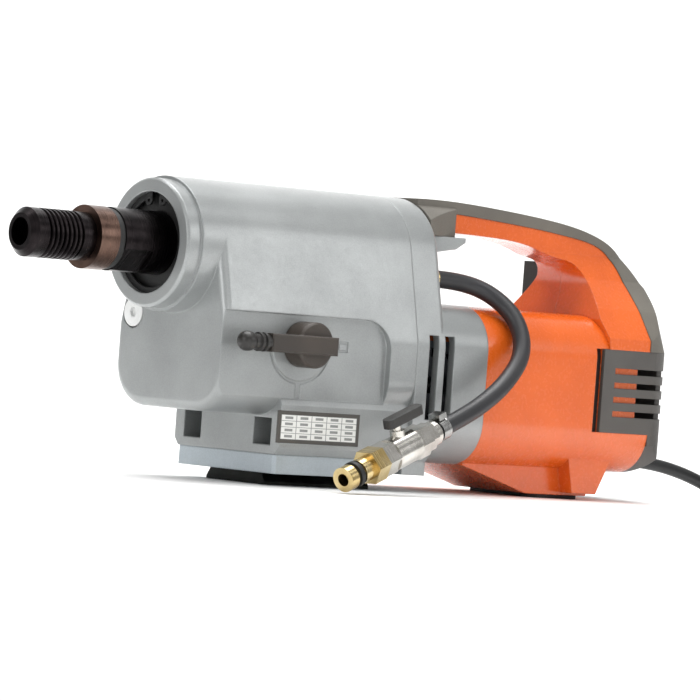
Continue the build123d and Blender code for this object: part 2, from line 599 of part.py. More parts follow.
cluster = rod(SEAT_R, SHAFT_FRONT[0], SHAFT_FRONT[1] + 1, SHAFT_A_Y, SHAFT_A_Z)
cluster += rod(GEAR_SHAFT_R, SHAFT_FRONT[1] + 1, SHAFT_REAR[0] - 1, SHAFT_A_Y, SHAFT_A_Z)
cluster += rod(SEAT_R, SHAFT_REAR[0] - 1, SHAFT_REAR[1], SHAFT_A_Y, SHAFT_A_Z)
for index, (free_teeth, cluster_teeth) in enumerate(zip(FREE_TEETH, CLUSTER_TEETH)):
    gear_x = CHANGE_X + index * CHANGE_PITCH
    cluster += involute_gear(
        cluster_teeth, CHANGE_MODULE, gear_x, CHANGE_WIDTH, SHAFT_A_Y, SHAFT_A_Z, to_a)
    free_phase = mating_phase(to_a, cluster_teeth, free_teeth, to_a + pi)
    free_gear = involute_gear(
        free_teeth, CHANGE_MODULE, gear_x, CHANGE_WIDTH, SHAFT_B_Y, SHAFT_B_Z, free_phase,
        bore=GEAR_SHAFT_R + RUNNING_FIT)
    keyway_half = KEY_THICKNESS / 2 + 0.15
    free_gear -= block((gear_x, SHAFT_B_Y - KEY_TIP_R - 0.3, SHAFT_B_Z - keyway_half),
                       (gear_x + CHANGE_WIDTH, SHAFT_B_Y + KEY_TIP_R + 0.3, SHAFT_B_Z + keyway_half))
    if index > 0:
        free_gear -= rod(KEY_TIP_R + MOVING_GAP, gear_x + KEY_FLANGE, gear_x + CHANGE_WIDTH - KEY_FLANGE,
                         SHAFT_B_Y, SHAFT_B_Z)
    nodes[f"free_gear_{free_teeth}"] = free_gear
nodes["layshaft"] = cluster
nodes["first_gear"] = involute_gear(
    FIRST_TEETH, FIRST_MODULE, FIRST_X, FIRST_WIDTH, SHAFT_A_Y, SHAFT_A_Z, to_motor, bore=GEAR_SHAFT_R)
bearing_solids = [tube(FRONT_BEARING_R, SPINDLE_BEARING_SEAT_R + RUNNING_FIT, *FRONT_BEARING)]
bearing_solids.append(tube(REAR_SPINDLE_BEARING_R, SPINDLE_TAIL_R + RUNNING_FIT, *REAR_SPINDLE_BEARING))
for y, z in bearing_seats:
    for span in (SHAFT_FRONT, SHAFT_REAR):
        bearing_solids.append(tube(BEARING_R, SEAT_R + RUNNING_FIT, *span, y, z))
nodes["gearbox_bearings"] = Compound(children=bearing_solids)

# ---------------------------------------------------------------- speed selector
def along_y(radius, start_y, end_y, x, z):
    """Cylinder along Y."""
    place = Plane(origin=(x, start_y, z), x_dir=(1, 0, 0), z_dir=(0, 1, 0))
    return place * Cylinder(radius, end_y - start_y, align=(Align.CENTER, Align.CENTER, Align.MIN))


knob_face_y = KNOB_BASE_Y - KNOB_HEIGHT
knob = along_y(KNOB_R, knob_face_y, KNOB_BASE_Y, KNOB_X, KNOB_Z)
knob = chamfer(knob.faces().sort_by(Axis.Y)[0].edges(), 1.5)
lever_low_y = knob_face_y - LEVER_THICKNESS
lever = block((KNOB_X - LEVER_REACH, lever_low_y, KNOB_Z - LEVER_WIDTH / 2),
              (KNOB_X + LEVER_TAIL, knob_face_y + 3, KNOB_Z + LEVER_WIDTH / 2))
lever = chamfer(lever.faces().sort_by(Axis.Y)[0].edges(), 1)
nodes["knob"] = knob + lever
tip_y = (lever_low_y + knob_face_y + 3) / 2
lever_end_x = KNOB_X - LEVER_REACH
tip_end_x = lever_end_x - TIP_LENGTH
tip = rod(TIP_R - 1.5, tip_end_x + TIP_R, lever_end_x, tip_y, KNOB_Z)
ball = rod(TIP_R, tip_end_x, tip_end_x + 2 * TIP_R, tip_y, KNOB_Z)
tip += fillet(ball.edges().filter_by(GeomType.CIRCLE), TIP_R - 0.5)
for rib_x in (lever_end_x - 4, lever_end_x - 8):
    tip += rod(TIP_R - 0.3, rib_x - 1, rib_x + 1, tip_y, KNOB_Z)
nodes["knob_tip"] = tip

selector_shaft = along_y(SELECTOR_SHAFT_R, KNOB_BASE_Y, RACK_Y[0], KNOB_X, KNOB_Z)
pinion = involute_gear(RACK_TEETH, RACK_MODULE, 0, RACK_Y[1] - RACK_Y[0], 0, 0, -pi / 2)
selector_shaft += Pos(KNOB_X, RACK_Y[0], KNOB_Z) * Rot(0, 0, 90) * pinion
nodes["selector_shaft"] = selector_shaft

rack_pitch_z = KNOB_Z - RACK_TEETH * RACK_MODULE / 2
tooth_pitch = pi * RACK_MODULE
rack_top = rack_pitch_z + ADDENDUM * RACK_MODULE
rack_root = rack_pitch_z - DEDENDUM * RACK_MODULE
rack_reach = 11
rack_points = []
for number in range(-rack_reach, 2):
    tooth_x = KNOB_X + (number + 0.5) * tooth_pitch
    root_half = tooth_pitch / 4 - BACKLASH / 2 + DEDENDUM * RACK_MODULE * tan(PRESSURE_ANGLE)
    tip_half = tooth_pitch / 4 - BACKLASH / 2 - ADDENDUM * RACK_MODULE * tan(PRESSURE_ANGLE)
    rack_points += [(tooth_x - root_half, rack_root), (tooth_x - tip_half, rack_top)]
    rack_points += [(tooth_x + tip_half, rack_top), (tooth_x + root_half, rack_root)]
bar_front_x = rack_points[0][0] - 3
bar_rear_x = pin_x + 12
bar_low_z = RAIL_Z - RAIL_R - 3
rack_points = [(bar_front_x, rack_root)] + rack_points + [(bar_rear_x, rack_root), (bar_rear_x, bar_low_z)]
rack_points += [(bar_front_x, bar_low_z)]
rack_face = side_plane(RACK_Y[1]) * make_face(Polyline(*rack_points, close=True))
fork = extrude(rack_face, amount=RACK_Y[1] - RACK_Y[0])
fork += block((bar_front_x, RACK_Y[1], bar_low_z), (bar_rear_x, RAIL_Y + RAIL_R + 3, rack_root - 1))
prong_half = GROOVE_WIDTH / 2 - 0.15
arm = [(RACK_Y[0] + 1, rack_root - 2), (RAIL_Y + RAIL_R + 3, rack_root - 2), (SHAFT_B_Y + 13, SHAFT_B_Z - 8)]
arm += [(SHAFT_B_Y + 13, SHAFT_B_Z), (SHAFT_B_Y - 13, SHAFT_B_Z), (RACK_Y[0] + 1, rack_root + 8)]
fork += prism(make_face(Polyline(*arm, close=True)), pin_x - prong_half, pin_x + prong_half)
fork -= rod(GROOVE_R + 0.2, pin_x - GROOVE_WIDTH, pin_x + GROOVE_WIDTH, SHAFT_B_Y, SHAFT_B_Z)
fork -= rod(RAIL_R + RUNNING_FIT, bar_front_x, bar_rear_x, RAIL_Y, RAIL_Z)
nodes["shift_fork"] = fork
nodes["fork_rail"] = rod(RAIL_R, CASE_INSIDE_X, CASE_REAR_X, RAIL_Y, RAIL_Z)

# ---------------------------------------------------------------- label
label_low_y = side_face
label_box = block((LABEL_X[0], label_low_y, LABEL_Z[0]), (LABEL_X[1], label_low_y + LABEL_DEPTH, LABEL_Z[1]))
label_plate = block((LABEL_X[0] + LABEL_BORDER, label_low_y, LABEL_Z[0] + LABEL_BORDER),
                    (LABEL_X[1] - LABEL_BORDER, label_low_y + LABEL_DEPTH, LABEL_Z[1] - LABEL_BORDER))
nodes["label_frame"] = label_box - label_plate
nodes["label_plate"] = label_plate

# ---------------------------------------------------------------- motor housing with its skid foot
foot_points = [(MOTOR_FRONT_X + 3, HOUSING_LOW_Z + 6), (MOTOR_FRONT_X + 3, HOUSING_LOW_Z), (182, FOOT_Z)]
foot_points += [(238, FOOT_Z), (252, HOUSING_LOW_Z + 16), (200, HOUSING_LOW_Z + 16)]
pillar_points = [(207, HOUSING_LOW_Z + 16), (214, FOOT_Z + 2), (236, FOOT_Z + 2), (252, HOUSING_LOW_Z + 16)]

housing = prism(motor_outline(), MOTOR_FRONT_X, HOUSING_REAR_X)
floor_part = prism(motor_outline(), HOUSING_REAR_X, HOUSING_FLOOR_REAR_X)
floor_part &= block((HOUSING_REAR_X, -80, 0), (HOUSING_FLOOR_REAR_X, 80, WING_LOW_Z))
housing += floor_part
housing += slab(make_face(Polyline(*foot_points, close=True)), FOOT_HALF_WIDTH)
housing += slab(make_face(Polyline(*pillar_points, close=True)), FOOT_HALF_WIDTH + 12)
housing -= prism(motor_outline(HOUSING_WALL), MOTOR_FRONT_X, HOUSING_REAR_X)
housing -= prism(motor_outline(HOUSING_WALL), HOUSING_REAR_X, HOUSING_FLOOR_REAR_X - HOUSING_WALL) & block(
    (HOUSING_REAR_X, -80, 0), (HOUSING_FLOOR_REAR_X, 80, WING_LOW_Z))
for side in (-1, 1):
    low_y, high_y = sorted((side * (CASE_HALF_WIDTH - WING_DEPTH), side * (CASE_HALF_WIDTH + 1)))
    housing -= block((WING_FRONT_X, low_y, WING_LOW_Z), (HOUSING_REAR_X, high_y, WING_HIGH_Z))
    low_y, high_y = sorted((side * (CASE_HALF_WIDTH - 14), side * (CASE_HALF_WIDTH + 1)))
    housing -= block((WING_FRONT_X - WING_GAP, low_y, WING_LOW_Z), (WING_FRONT_X, high_y, WING_HIGH_Z))
housing -= block((HOUSING_REAR_X - 6, -CASE_HALF_WIDTH - 2, WING_LOW_Z),
                 (HOUSING_REAR_X, CASE_HALF_WIDTH + 2, WING_HIGH_Z)) & prism(
                     motor_outline(), HOUSING_REAR_X - 6, HOUSING_REAR_X) - prism(
                         motor_outline(WING_DEPTH), HOUSING_REAR_X - 6, HOUSING_REAR_X)
pad = block((PAD_X[0], -PAD_HALF_WIDTH, 0), (PAD_X[1], PAD_HALF_WIDTH, FOOT_Z))
nodes["foot_pad"] = chamfer(pad.edges().filter_by(Axis.Z), 5)
nodes["motor_housing"] = housing

# ---------------------------------------------------------------- handle, grip band and rear cover
band_top = [(UPPER_REAR_X, 196.0), (102, 196.3), (139, 195.0), (176, 192.4), (214, 188.6), (250, 181.2)]
band_back = [(266, 174.0), (278.5, 162.0), (286.5, 149), (291.5, 137), (295, 126), (298, 115)]
band_back += [(300, WING_HIGH_Z)]
inner_top = [(UPPER_REAR_X, 188.4), (122, 187.7), (159, 185.5), (196, 182.7), (228, 179.2), (250, 174.8)]
inner_back = [(263, 167.0), (268.5, 156), (270.3, 142), (270.3, 126), (269.8, WING_HIGH_Z)]
outer_edge = Spline(*band_top, *band_back)
inner_edge = Spline(*inner_top, *inner_back)


def closed_face(*edges):
    """Face inside the given edges, joined end to end."""
    return make_face(Curve() + list(edges))


def width_prism(extra):
    """Outline of the handle seen along X, carried over its length."""
    half = GRIP_HALF_WIDTH + extra
    points = [(half, 200), (half, 168), (half + 9, 152), (half + 27, 132), (CASE_HALF_WIDTH + extra, 112)]
    points += [(CASE_HALF_WIDTH + extra, WING_HIGH_Z)]
    points += [(-y, z) for y, z in reversed(points)]
    return prism(make_face(Polyline(*points, close=True)), UPPER_REAR_X, COVER_REAR_X)


band_face = closed_face(
    outer_edge, Line(outer_edge @ 1, inner_edge @ 1), inner_edge, Line(inner_edge @ 0, outer_edge @ 0))
band = slab(band_face, CASE_HALF_WIDTH + 5) & width_prism(BAND_PROUD)
socket_plan = [(UPPER_REAR_X, -31), (SOCKET_REAR_X, -GRIP_HALF_WIDTH - BAND_PROUD - 2)]
socket_plan += [(x, -y) for x, y in reversed(socket_plan)]
socket = extrude(Plane.XY * Pos(0, 0, LUG_TOP_Z) * make_face(Polyline(*socket_plan, close=True)), amount=30)
socket &= prism(case_outline(0.6), UPPER_REAR_X, SOCKET_REAR_X)
under_outer = closed_face(
    outer_edge, Line(outer_edge @ 1, (300, 100)), Line((300, 100), (UPPER_REAR_X, 100)),
    Line((UPPER_REAR_X, 100), outer_edge @ 0))
socket &= slab(under_outer, CASE_HALF_WIDTH)


def plan_outline(z, rear_x, corner_r):
    """Outline of the rear end seen from above, at one height."""
    outline = RectangleRounded(rear_x - 100, 2 * (CASE_HALF_WIDTH + BAND_PROUD), corner_r)
    return Plane.XY.offset(z) * Pos((100 + rear_x) / 2, 0) * outline


plan_round = extrude(plan_outline(0, COVER_REAR_X, REAR_CORNER_R), amount=WING_HIGH_Z)
plan_round += loft([
    plan_outline(WING_HIGH_Z, COVER_REAR_X, REAR_CORNER_R),
    plan_outline(210, COVER_REAR_X - REAR_LEAN, REAR_CORNER_TOP_R)], ruled=True)
band &= plan_round + block((UPPER_REAR_X, -30, 100), (230, 30, 220))
nodes["grip_band"] = band + socket

grip_low = [(SOCKET_REAR_X, GRIP_LOW_Z), (150, 174.4), (193, 169.5), (212, 164.5), (226, 161.5)]
post_front = [(233, 154), (233, 140), (229, HOUSING_HIGH_Z - 2)]
under_edge = Spline(*grip_low, *post_front)
handle_face = closed_face(
    under_edge, Line(under_edge @ 1, (232, WING_HIGH_Z)), Line((232, WING_HIGH_Z), inner_edge @ 1),
    inner_edge, Line(inner_edge @ 0, (UPPER_REAR_X, GRIP_LOW_Z)),
    Line((UPPER_REAR_X, GRIP_LOW_Z), under_edge @ 0))
handle = slab(handle_face, CASE_HALF_WIDTH + 5) & width_prism(0)
handle -= block((UPPER_REAR_X - 1, -60, 100), (SOCKET_REAR_X, 60, 200))
handle -= prism(motor_outline(), MOTOR_FRONT_X, HOUSING_REAR_X)
handle -= block((242, -10, 128), (256, 10, 168))
for side, name in ((-1, "handle_near"), (1, "handle_far")):
    low_y, high_y = sorted((0, side * 70))
    nodes[name] = handle & block((UPPER_REAR_X, low_y, 90), (COVER_REAR_X, high_y, 210))

cover_curve = Spline((300, WING_HIGH_Z), (302, 82), (301, 60), (295, 40), (285, 26),
                     (HOUSING_FLOOR_REAR_X, HOUSING_LOW_Z))
cover_face = closed_face(
    cover_curve, Line(cover_curve @ 1, (HOUSING_FLOOR_REAR_X, WING_LOW_Z)),
    Line((HOUSING_FLOOR_REAR_X, WING_LOW_Z), (HOUSING_REAR_X, WING_LOW_Z)),
    Line((HOUSING_REAR_X, WING_LOW_Z), (HOUSING_REAR_X, WING_HIGH_Z)),
    Line((HOUSING_REAR_X, WING_HIGH_Z), cover_curve @ 0))
cover = slab(cover_face, CASE_HALF_WIDTH)
for side in (-1, 1):
    low_y, high_y = sorted((side * (CASE_HALF_WIDTH - WING_DEPTH), side * CASE_HALF_WIDTH))
    cover += block((WING_FRONT_X, low_y, WING_LOW_Z), (HOUSING_REAR_X, high_y, WING_HIGH_Z))
corner = prism(motor_outline(), HOUSING_REAR_X, COVER_REAR_X)
cover &= plan_round & (corner + block((WING_FRONT_X, -80, WING_LOW_Z - 8), (COVER_REAR_X, 80, WING_HIGH_Z)))
room = extrude(Plane.XY * Pos((200 + COVER_REAR_X - 2 * COVER_WALL) / 2, 0) * RectangleRounded(
    COVER_REAR_X - 200, 2 * (CASE_HALF_WIDTH - COVER_WALL), 22), amount=220)
room &= block((HOUSING_REAR_X, -80, WING_LOW_Z + COVER_WALL),
              (COVER_REAR_X - 9, 80, WING_HIGH_Z - COVER_WALL))
cover -= room
for number in range(SLOT_COUNT):
    slot_z = SLOT_TOP_Z - number * SLOT_PITCH
    for side in (-1, 1):
        low_y, high_y = sorted((side * SLOT_INNER_Y, side * 70))
        cover -= block((SLOT_FRONT_X, low_y, slot_z - SLOT_HEIGHT / 2),
                       (COVER_REAR_X + 5, high_y, slot_z + SLOT_HEIGHT / 2))
cord_start = CORD_ROUTE[0]
relief_shape = rod(RELIEF_SHELL_R, RELIEF_FRONT_X, RELIEF_STEP_X, cord_start[1], cord_start[2])
cover -= relief_shape
nodes["rear_cover"] = cover
relief = relief_shape + rod(RELIEF_R, RELIEF_STEP_X, cord_start[0], cord_start[1], cord_start[2])
for ring_x in RELIEF_RINGS:
    relief -= tube(RELIEF_R + 1, RELIEF_R - 1, ring_x, ring_x + 1.5, cord_start[1], cord_start[2])
nodes["strain_relief"] = relief

# ---------------------------------------------------------------- motor
def motor_rod(radius, start_x, end_x):
    """Cylinder on the motor axis."""
    return rod(radius, start_x, end_x, 0, MOTOR_Z)


pinion_phase = mating_phase(to_motor, FIRST_TEETH, PINION_TEETH, to_motor)
armature = involute_gear(PINION_TEETH, FIRST_MODULE, FIRST_X - 1, FIRST_WIDTH + 2, 0, MOTOR_Z, pinion_phase)
armature += motor_rod(SEAT_R, FIRST_X + FIRST_WIDTH + 1, SHAFT_REAR_X)
nodes["armature_shaft"] = armature
core = motor_rod(ARMATURE_R, *ARMATURE_X) - motor_rod(SEAT_R, *ARMATURE_X)
for number in range(12):
    slot = block((ARMATURE_X[0], ARMATURE_R - 5, -1), (ARMATURE_X[1], ARMATURE_R + 1, 1))
    core -= Pos(0, 0, MOTOR_Z) * Rot(number * 30, 0, 0) * slot
nodes["armature_core"] = core
commutator = motor_rod(COMMUTATOR_R, *COMMUTATOR_X) - motor_rod(SEAT_R, *COMMUTATOR_X)
for number in range(24):
    cut = block((COMMUTATOR_X[0], COMMUTATOR_R - 1, -0.3), (COMMUTATOR_X[1], COMMUTATOR_R + 1, 0.3))
    commutator -= Pos(0, 0, MOTOR_Z) * Rot(number * 15, 0, 0) * cut
nodes["commutator"] = commutator
fan = motor_rod(12, *FAN_X) + motor_rod(FAN_R, FAN_X[0], FAN_X[0] + 2)
for number in range(FAN_BLADES):
    blade = block((FAN_X[0], 10, -1), (FAN_X[1], FAN_R - 1, 1))
    fan += Pos(0, 0, MOTOR_Z) * Rot(number * 360 / FAN_BLADES, 0, 0) * blade
fan -= motor_rod(SEAT_R, *FAN_X)
nodes["fan"] = fan
stator_outer = prism(motor_outline(HOUSING_WALL), *STATOR_X) & motor_rod(53, *STATOR_X)
stator = stator_outer - motor_rod(STATOR_BORE_R, *STATOR_X)
coils = []
for side in (-1, 1):
    low_z, high_z = sorted((MOTOR_Z + side * 30, MOTOR_Z + side * 41))
    window = block((STATOR_X[0] - 9, -24, low_z), (STATOR_X[1] + 9, 24, high_z))
    stator -= window
    coils.append(chamfer(window.edges().filter_by(Axis.Z), 4))
nodes["field_stator"] = stator
nodes["field_coils"] = Compound(children=coils)
bracket = prism(motor_outline(HOUSING_WALL), *BRACKET_X)
bracket -= motor_rod(SEAT_R + 1, *BRACKET_X)
bracket -= motor_rod(BEARING_R, BRACKET_X[0], BRACKET_X[0] + BEARING_WIDTH)
for side in (-1, 1):
    low_z, high_z = sorted((MOTOR_Z + side * 24, MOTOR_Z + side * 44))
    bracket -= block((BRACKET_X[0], -28, low_z), (BRACKET_X[1], 28, high_z))
brush_x = (COMMUTATOR_X[0] + COMMUTATOR_X[1]) / 2
brush_length, brush_thickness = BRUSH_SIZE
holders = []
brushes = []
for side in (-1, 1):
    low_y, high_y = sorted((side * (COMMUTATOR_R + 2), side * (COMMUTATOR_R + 22)))
    holder = block((brush_x - 8, low_y, MOTOR_Z - 6), (brush_x + 8, high_y, MOTOR_Z + 6))
    low_arm, high_arm = sorted((side * (COMMUTATOR_R + 16), side * (COMMUTATOR_R + 22)))
    holder += block((brush_x - 8, low_arm, MOTOR_Z - 6), (BRACKET_X[0], high_arm, MOTOR_Z + 6))
    inner_y, outer_y = sorted((side * (COMMUTATOR_R + 0.1), side * (COMMUTATOR_R + 18)))
    brush = block((brush_x - brush_length / 2, inner_y, MOTOR_Z - brush_thickness / 2),
                  (brush_x + brush_length / 2, outer_y, MOTOR_Z + brush_thickness / 2))
    holders.append(holder - brush)
    brushes.append(brush)
nodes["brush_bracket"] = bracket
nodes["brush_holders"] = Compound(children=holders)
nodes["carbon_brushes"] = Compound(children=brushes)
nodes["armature_bearings"] = Compound(children=[
    tube(BEARING_R, SEAT_R + RUNNING_FIT, *FRONT_MOTOR_BEARING, 0, MOTOR_Z),
    tube(BEARING_R, SEAT_R + RUNNING_FIT, BRACKET_X[0], BRACKET_X[0] + BEARING_WIDTH, 0, MOTOR_Z)])
module = block((BRACKET_X[1], -30, MOTOR_Z - 20), (BRACKET_X[1] + 16, 30, MOTOR_Z + 24))
module -= block((BRACKET_X[1] + 13, -26, MOTOR_Z - 16), (BRACKET_X[1] + 16, 26, MOTOR_Z + 20))
nodes["control_module"] = module

# ---------------------------------------------------------------- switch on the far side of the handle post
bezel = block((SWITCH_X[0], 6, SWITCH_Z[0]), (SWITCH_X[1], SWITCH_FACE_Y, SWITCH_Z[1]))
rocker_room = block((SWITCH_X[0] + 3, SWITCH_FACE_Y - 9, SWITCH_Z[0] + 3),
                    (SWITCH_X[1] - 3, SWITCH_FACE_Y, SWITCH_Z[1] - 3))
nodes["handle_far"] = nodes["handle_far"] - bezel
nodes["switch_body"] = bezel - rocker_room
switch_middle_z = (SWITCH_Z[0] + SWITCH_Z[1]) / 2
rocker_half = (SWITCH_Z[1] - SWITCH_Z[0]) / 2 - 3.6
rocker_points = [(-rocker_half, 4.5), (0, 1.5), (rocker_half, 0.5)]
rocker_points += [(rocker_half - 1, -5), (-rocker_half + 1, -3)]
rocker_face = Pos(SWITCH_FACE_Y - 1.0, switch_middle_z) * Rot(0, 0, 90) * make_face(Polyline(
    *[(a, -b) for a, b in rocker_points], close=True))
rocker = extrude(across(SWITCH_X[0] + 3.5) * rocker_face, amount=SWITCH_X[1] - SWITCH_X[0] - 7)
pivot = rod(ROCKER_PIN_R, SWITCH_X[0] + 1.5, SWITCH_X[1] - 1.5, ROCKER_PIVOT_Y, switch_middle_z)
nodes["switch_rocker"] = rocker + pivot
nodes["switch_body"] -= rod(
    ROCKER_PIN_R + RUNNING_FIT, SWITCH_X[0] + 1.2, SWITCH_X[1] - 1.2, ROCKER_PIVOT_Y, switch_middle_z)

# ---------------------------------------------------------------- water union, hose and ball valve
hose_start = HOSE_ROUTE[0]
hose_end = HOSE_ROUTE[-1]
union = tube(9, 3, UPPER_REAR_X, UPPER_REAR_X + 4, UNION_Y, UNION_Z)
union += tube(UNION_BORE_R, 3, UPPER_REAR_X - 8, UPPER_REAR_X, UNION_Y, UNION_Z)
union += tube(8, 3, UPPER_REAR_X + 4, hose_start[0], UNION_Y, UNION_Z)
nodes["water_union"] = union
nodes["water_hose"] = cord(HOSE_ROUTE, HOSE_R, "water hose")
valve_direction = Vector(*hose_end) - Vector(*HOSE_ROUTE[-2])
sideways = Vector(-valve_direction.Y, valve_direction.X, 0)
valve = Plane(origin=hose_end, x_dir=sideways, z_dir=valve_direction)


def turned(radius, start, end):
    """Cylinder along the valve's axis, from its hose end."""
    return valve * Pos(0, 0, start) * Cylinder(
        radius, end - start, align=(Align.CENTER, Align.CENTER, Align.MIN))


def hexagon(across_flats, start, end):
    """Hexagonal bar along the valve's axis."""
    profile = RegularPolygon(across_flats / 2, 6, major_radius=False)
    return extrude(valve * Pos(0, 0, start) * profile, amount=end - start)


clamp_ring = turned(HOSE_R + 1.6, -11, -3) - turned(HOSE_R, -12, -2)
clamp_ring += valve * Pos(0, HOSE_R + 3.4, -7) * Box(9, 4, 8) - turned(HOSE_R, -12, -2)
nodes["hose_clamp"] = clamp_ring
body = turned(8.5, 0, 5) + hexagon(17, 5, 13) + hexagon(20, 13, 24)
body += turned(11, 24, 48) + hexagon(20, 48, 60)
body += valve * Pos(0, 11, STEM_AT) * Rot(90, 0, 0) * Cylinder(5, 6)
body -= turned(BORE_R, 0, 60)
ball_room = valve * Pos(0, 0, STEM_AT) * Sphere(BALL_R + MOVING_GAP)
stem_hole = valve * Pos(0, 9, STEM_AT) * Rot(90, 0, 0) * Cylinder(3 + RUNNING_FIT, 14)
nodes["valve_body"] = body - ball_room - stem_hole
ball = valve * Pos(0, 0, STEM_AT) * Sphere(BALL_R) - turned(BORE_R, 13, 60)
stem = valve * Pos(0, 12.5, STEM_AT) * Rot(90, 0, 0) * Cylinder(3, 10)
nodes["valve_ball"] = ball + stem
arm = valve * Pos(0, 20.5, STEM_AT - 8) * Box(8.5, 6, 36)
arm = fillet(arm.edges().filter_by(Axis((0, 0, 0), (valve.y_dir.X, valve.y_dir.Y, valve.y_dir.Z))), 3.5)
nodes["valve_lever"] = arm
coupler = hexagon(21, 60, 72) + turned(8.2, 72, 81) + turned(6.5, 81, 89) + turned(8.2, 89, VALVE_LENGTH)
coupler -= turned(4.2, 60, VALVE_LENGTH)
nodes["coupler"] = coupler
nodes["coupler_ring"] = turned(8.6, 83, 86.5) - turned(6.5, 83, 86.5)

# ---------------------------------------------------------------- power cord, coil and plug
nodes["power_cord"] = cord(CORD_ROUTE, CORD_R, "power cord")
coil_section = Pos(COIL_R, COIL_HEIGHT / 2 + FLOOR_GAP) * RectangleRounded(COIL_WIDTH, COIL_HEIGHT, 6)
nodes["cord_coil"] = Pos(COIL_CENTRE[0], COIL_CENTRE[1], 0) * revolve(Plane.XZ * coil_section, Axis.Z)
nodes["cord_tail"] = cord(TAIL_ROUTE, CORD_R, "cord tail")
tail_end = Vector(*TAIL_ROUTE[-1])
plug_plane = Plane(origin=tail_end, x_dir=(0, 1, 0), z_dir=(-1, 0, 0))


def plug_rod(radius, start, end, offset=0.0):
    """Cylinder along the plug's axis, from the end of the cord."""
    return plug_plane * Pos(offset, 0, start) * Cylinder(
        radius, end - start, align=(Align.CENTER, Align.CENTER, Align.MIN))


plug = plug_rod(7, 0, 12) + plug_rod(PLUG_R, 12, PLUG_LENGTH)
plug = fillet(plug.edges().filter_by(GeomType.CIRCLE).sort_by(Axis.X)[:2], 3)
pins = []
for side in (-1, 1):
    pins.append(plug_rod(PIN_R, PLUG_LENGTH, PLUG_LENGTH + PIN_LENGTH, side * PIN_SPACING / 2))
nodes["mains_plug"] = plug
nodes["plug_pins"] = Compound(children=pins)

# ---------------------------------------------------------------- files
os.makedirs("parts", exist_ok=True)
for name, shape in nodes.items():
    export_step(shape, f"parts/{name}.step")
print("nodes", len(nodes))
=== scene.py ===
# %% [markdown]
# # A core drill motor, dressed over its CAD frame
# The CAD model already holds every casting, gear and screw at its real size. This lesson loads it,
# gives each part the finish that its real material has, and replaces the parts that CAD makes
# too plainly: the water hose, the mains cord with its coil, and the strain relief.

# %% Load the frame
import math

import bmesh
import bpy
from mathutils import Matrix, Vector


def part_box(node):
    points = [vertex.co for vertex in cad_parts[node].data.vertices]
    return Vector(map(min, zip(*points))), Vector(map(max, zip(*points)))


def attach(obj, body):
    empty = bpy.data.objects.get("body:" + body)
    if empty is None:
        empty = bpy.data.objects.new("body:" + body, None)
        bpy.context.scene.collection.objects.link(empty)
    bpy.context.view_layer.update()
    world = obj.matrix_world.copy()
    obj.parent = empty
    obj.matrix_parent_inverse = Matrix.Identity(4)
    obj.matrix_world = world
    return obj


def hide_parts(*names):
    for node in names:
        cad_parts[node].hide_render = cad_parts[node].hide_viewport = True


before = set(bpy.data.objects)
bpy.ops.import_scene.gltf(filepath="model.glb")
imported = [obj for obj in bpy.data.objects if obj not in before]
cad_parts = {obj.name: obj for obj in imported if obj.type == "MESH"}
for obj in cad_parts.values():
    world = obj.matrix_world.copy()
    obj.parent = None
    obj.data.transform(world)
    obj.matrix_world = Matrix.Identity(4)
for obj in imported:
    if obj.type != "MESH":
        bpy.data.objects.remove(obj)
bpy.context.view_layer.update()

# %% [markdown]
# All sizes are written in millimetres, as on a drawing, and turned to metres in one place.
# Colours are written as sRGB hex values, as a paint maker gives them. Blender's shaders work on
# linear light, so one function does the turning.

# %% Units and colours
MM = 0.001


def point(x, y, z):
    """A place in millimetres, as a vector in metres."""
    return Vector((x, y, z)) * MM


def paint(code):
    """An sRGB hex colour such as "b0b4b6" as linear red, green, blue and alpha."""
    linear = []
    for place in (0, 2, 4):
        value = int(code[place:place + 2], 16) / 255
        linear.append(value / 12.92 if value <= 0.04045 else ((value + 0.055) / 1.055) ** 2.4)
    return (*linear, 1.0)


print("mid grey is", [round(value, 3) for value in paint("808080")])

# %% [markdown]
# The camera stands at the drill's front left, a hand's breadth above the table and three metres
# off, with a long lens, so that the far end is nearly as large as the near one. It is rolled a
# little, which makes the machine look as if its nose is lifted.

# %% Camera
AZIMUTH = math.radians(40.8)
ELEVATION = math.radians(0.3)
ROLL = math.radians(4.3)
backwards = Vector((-math.sin(AZIMUTH) * math.cos(ELEVATION),
                    -math.cos(AZIMUTH) * math.cos(ELEVATION), math.sin(ELEVATION)))
level_right = Vector((math.cos(AZIMUTH), -math.sin(AZIMUTH), 0))
level_up = backwards.cross(level_right)
right = level_right * math.cos(ROLL) + level_up * math.sin(ROLL)
up = level_up * math.cos(ROLL) - level_right * math.sin(ROLL)
FOCAL_LENGTH = 255.1
SENSOR_WIDTH = 36
CAMERA_PLACE = (-2.1215, -2.5112, 0.1086)
lens = bpy.data.cameras.new("studio_camera")
lens.lens = FOCAL_LENGTH
lens.sensor_width = SENSOR_WIDTH
lens.clip_start = 0.1
camera = bpy.data.objects.new("studio_camera", lens)
bpy.context.scene.collection.objects.link(camera)
turn = Matrix((right, up, backwards)).transposed().to_4x4()
camera.matrix_world = Matrix.Translation(CAMERA_PLACE) @ turn
bpy.context.scene.camera = camera
print("camera at", camera.location)

# %% [markdown]
# A product picture is taken on a white sweep: a floor that bends up into a wall. The bend hides
# the horizon. It is a strip of quads, smoothed, with matt white paper as its finish.

# %% Sweep of white paper
PAPER_HALF_WIDTH = 9.0
BEND_START = 2.2
BEND_RADIUS = 1.5
BEND_STEPS = 12
WALL_TOP = 7.0
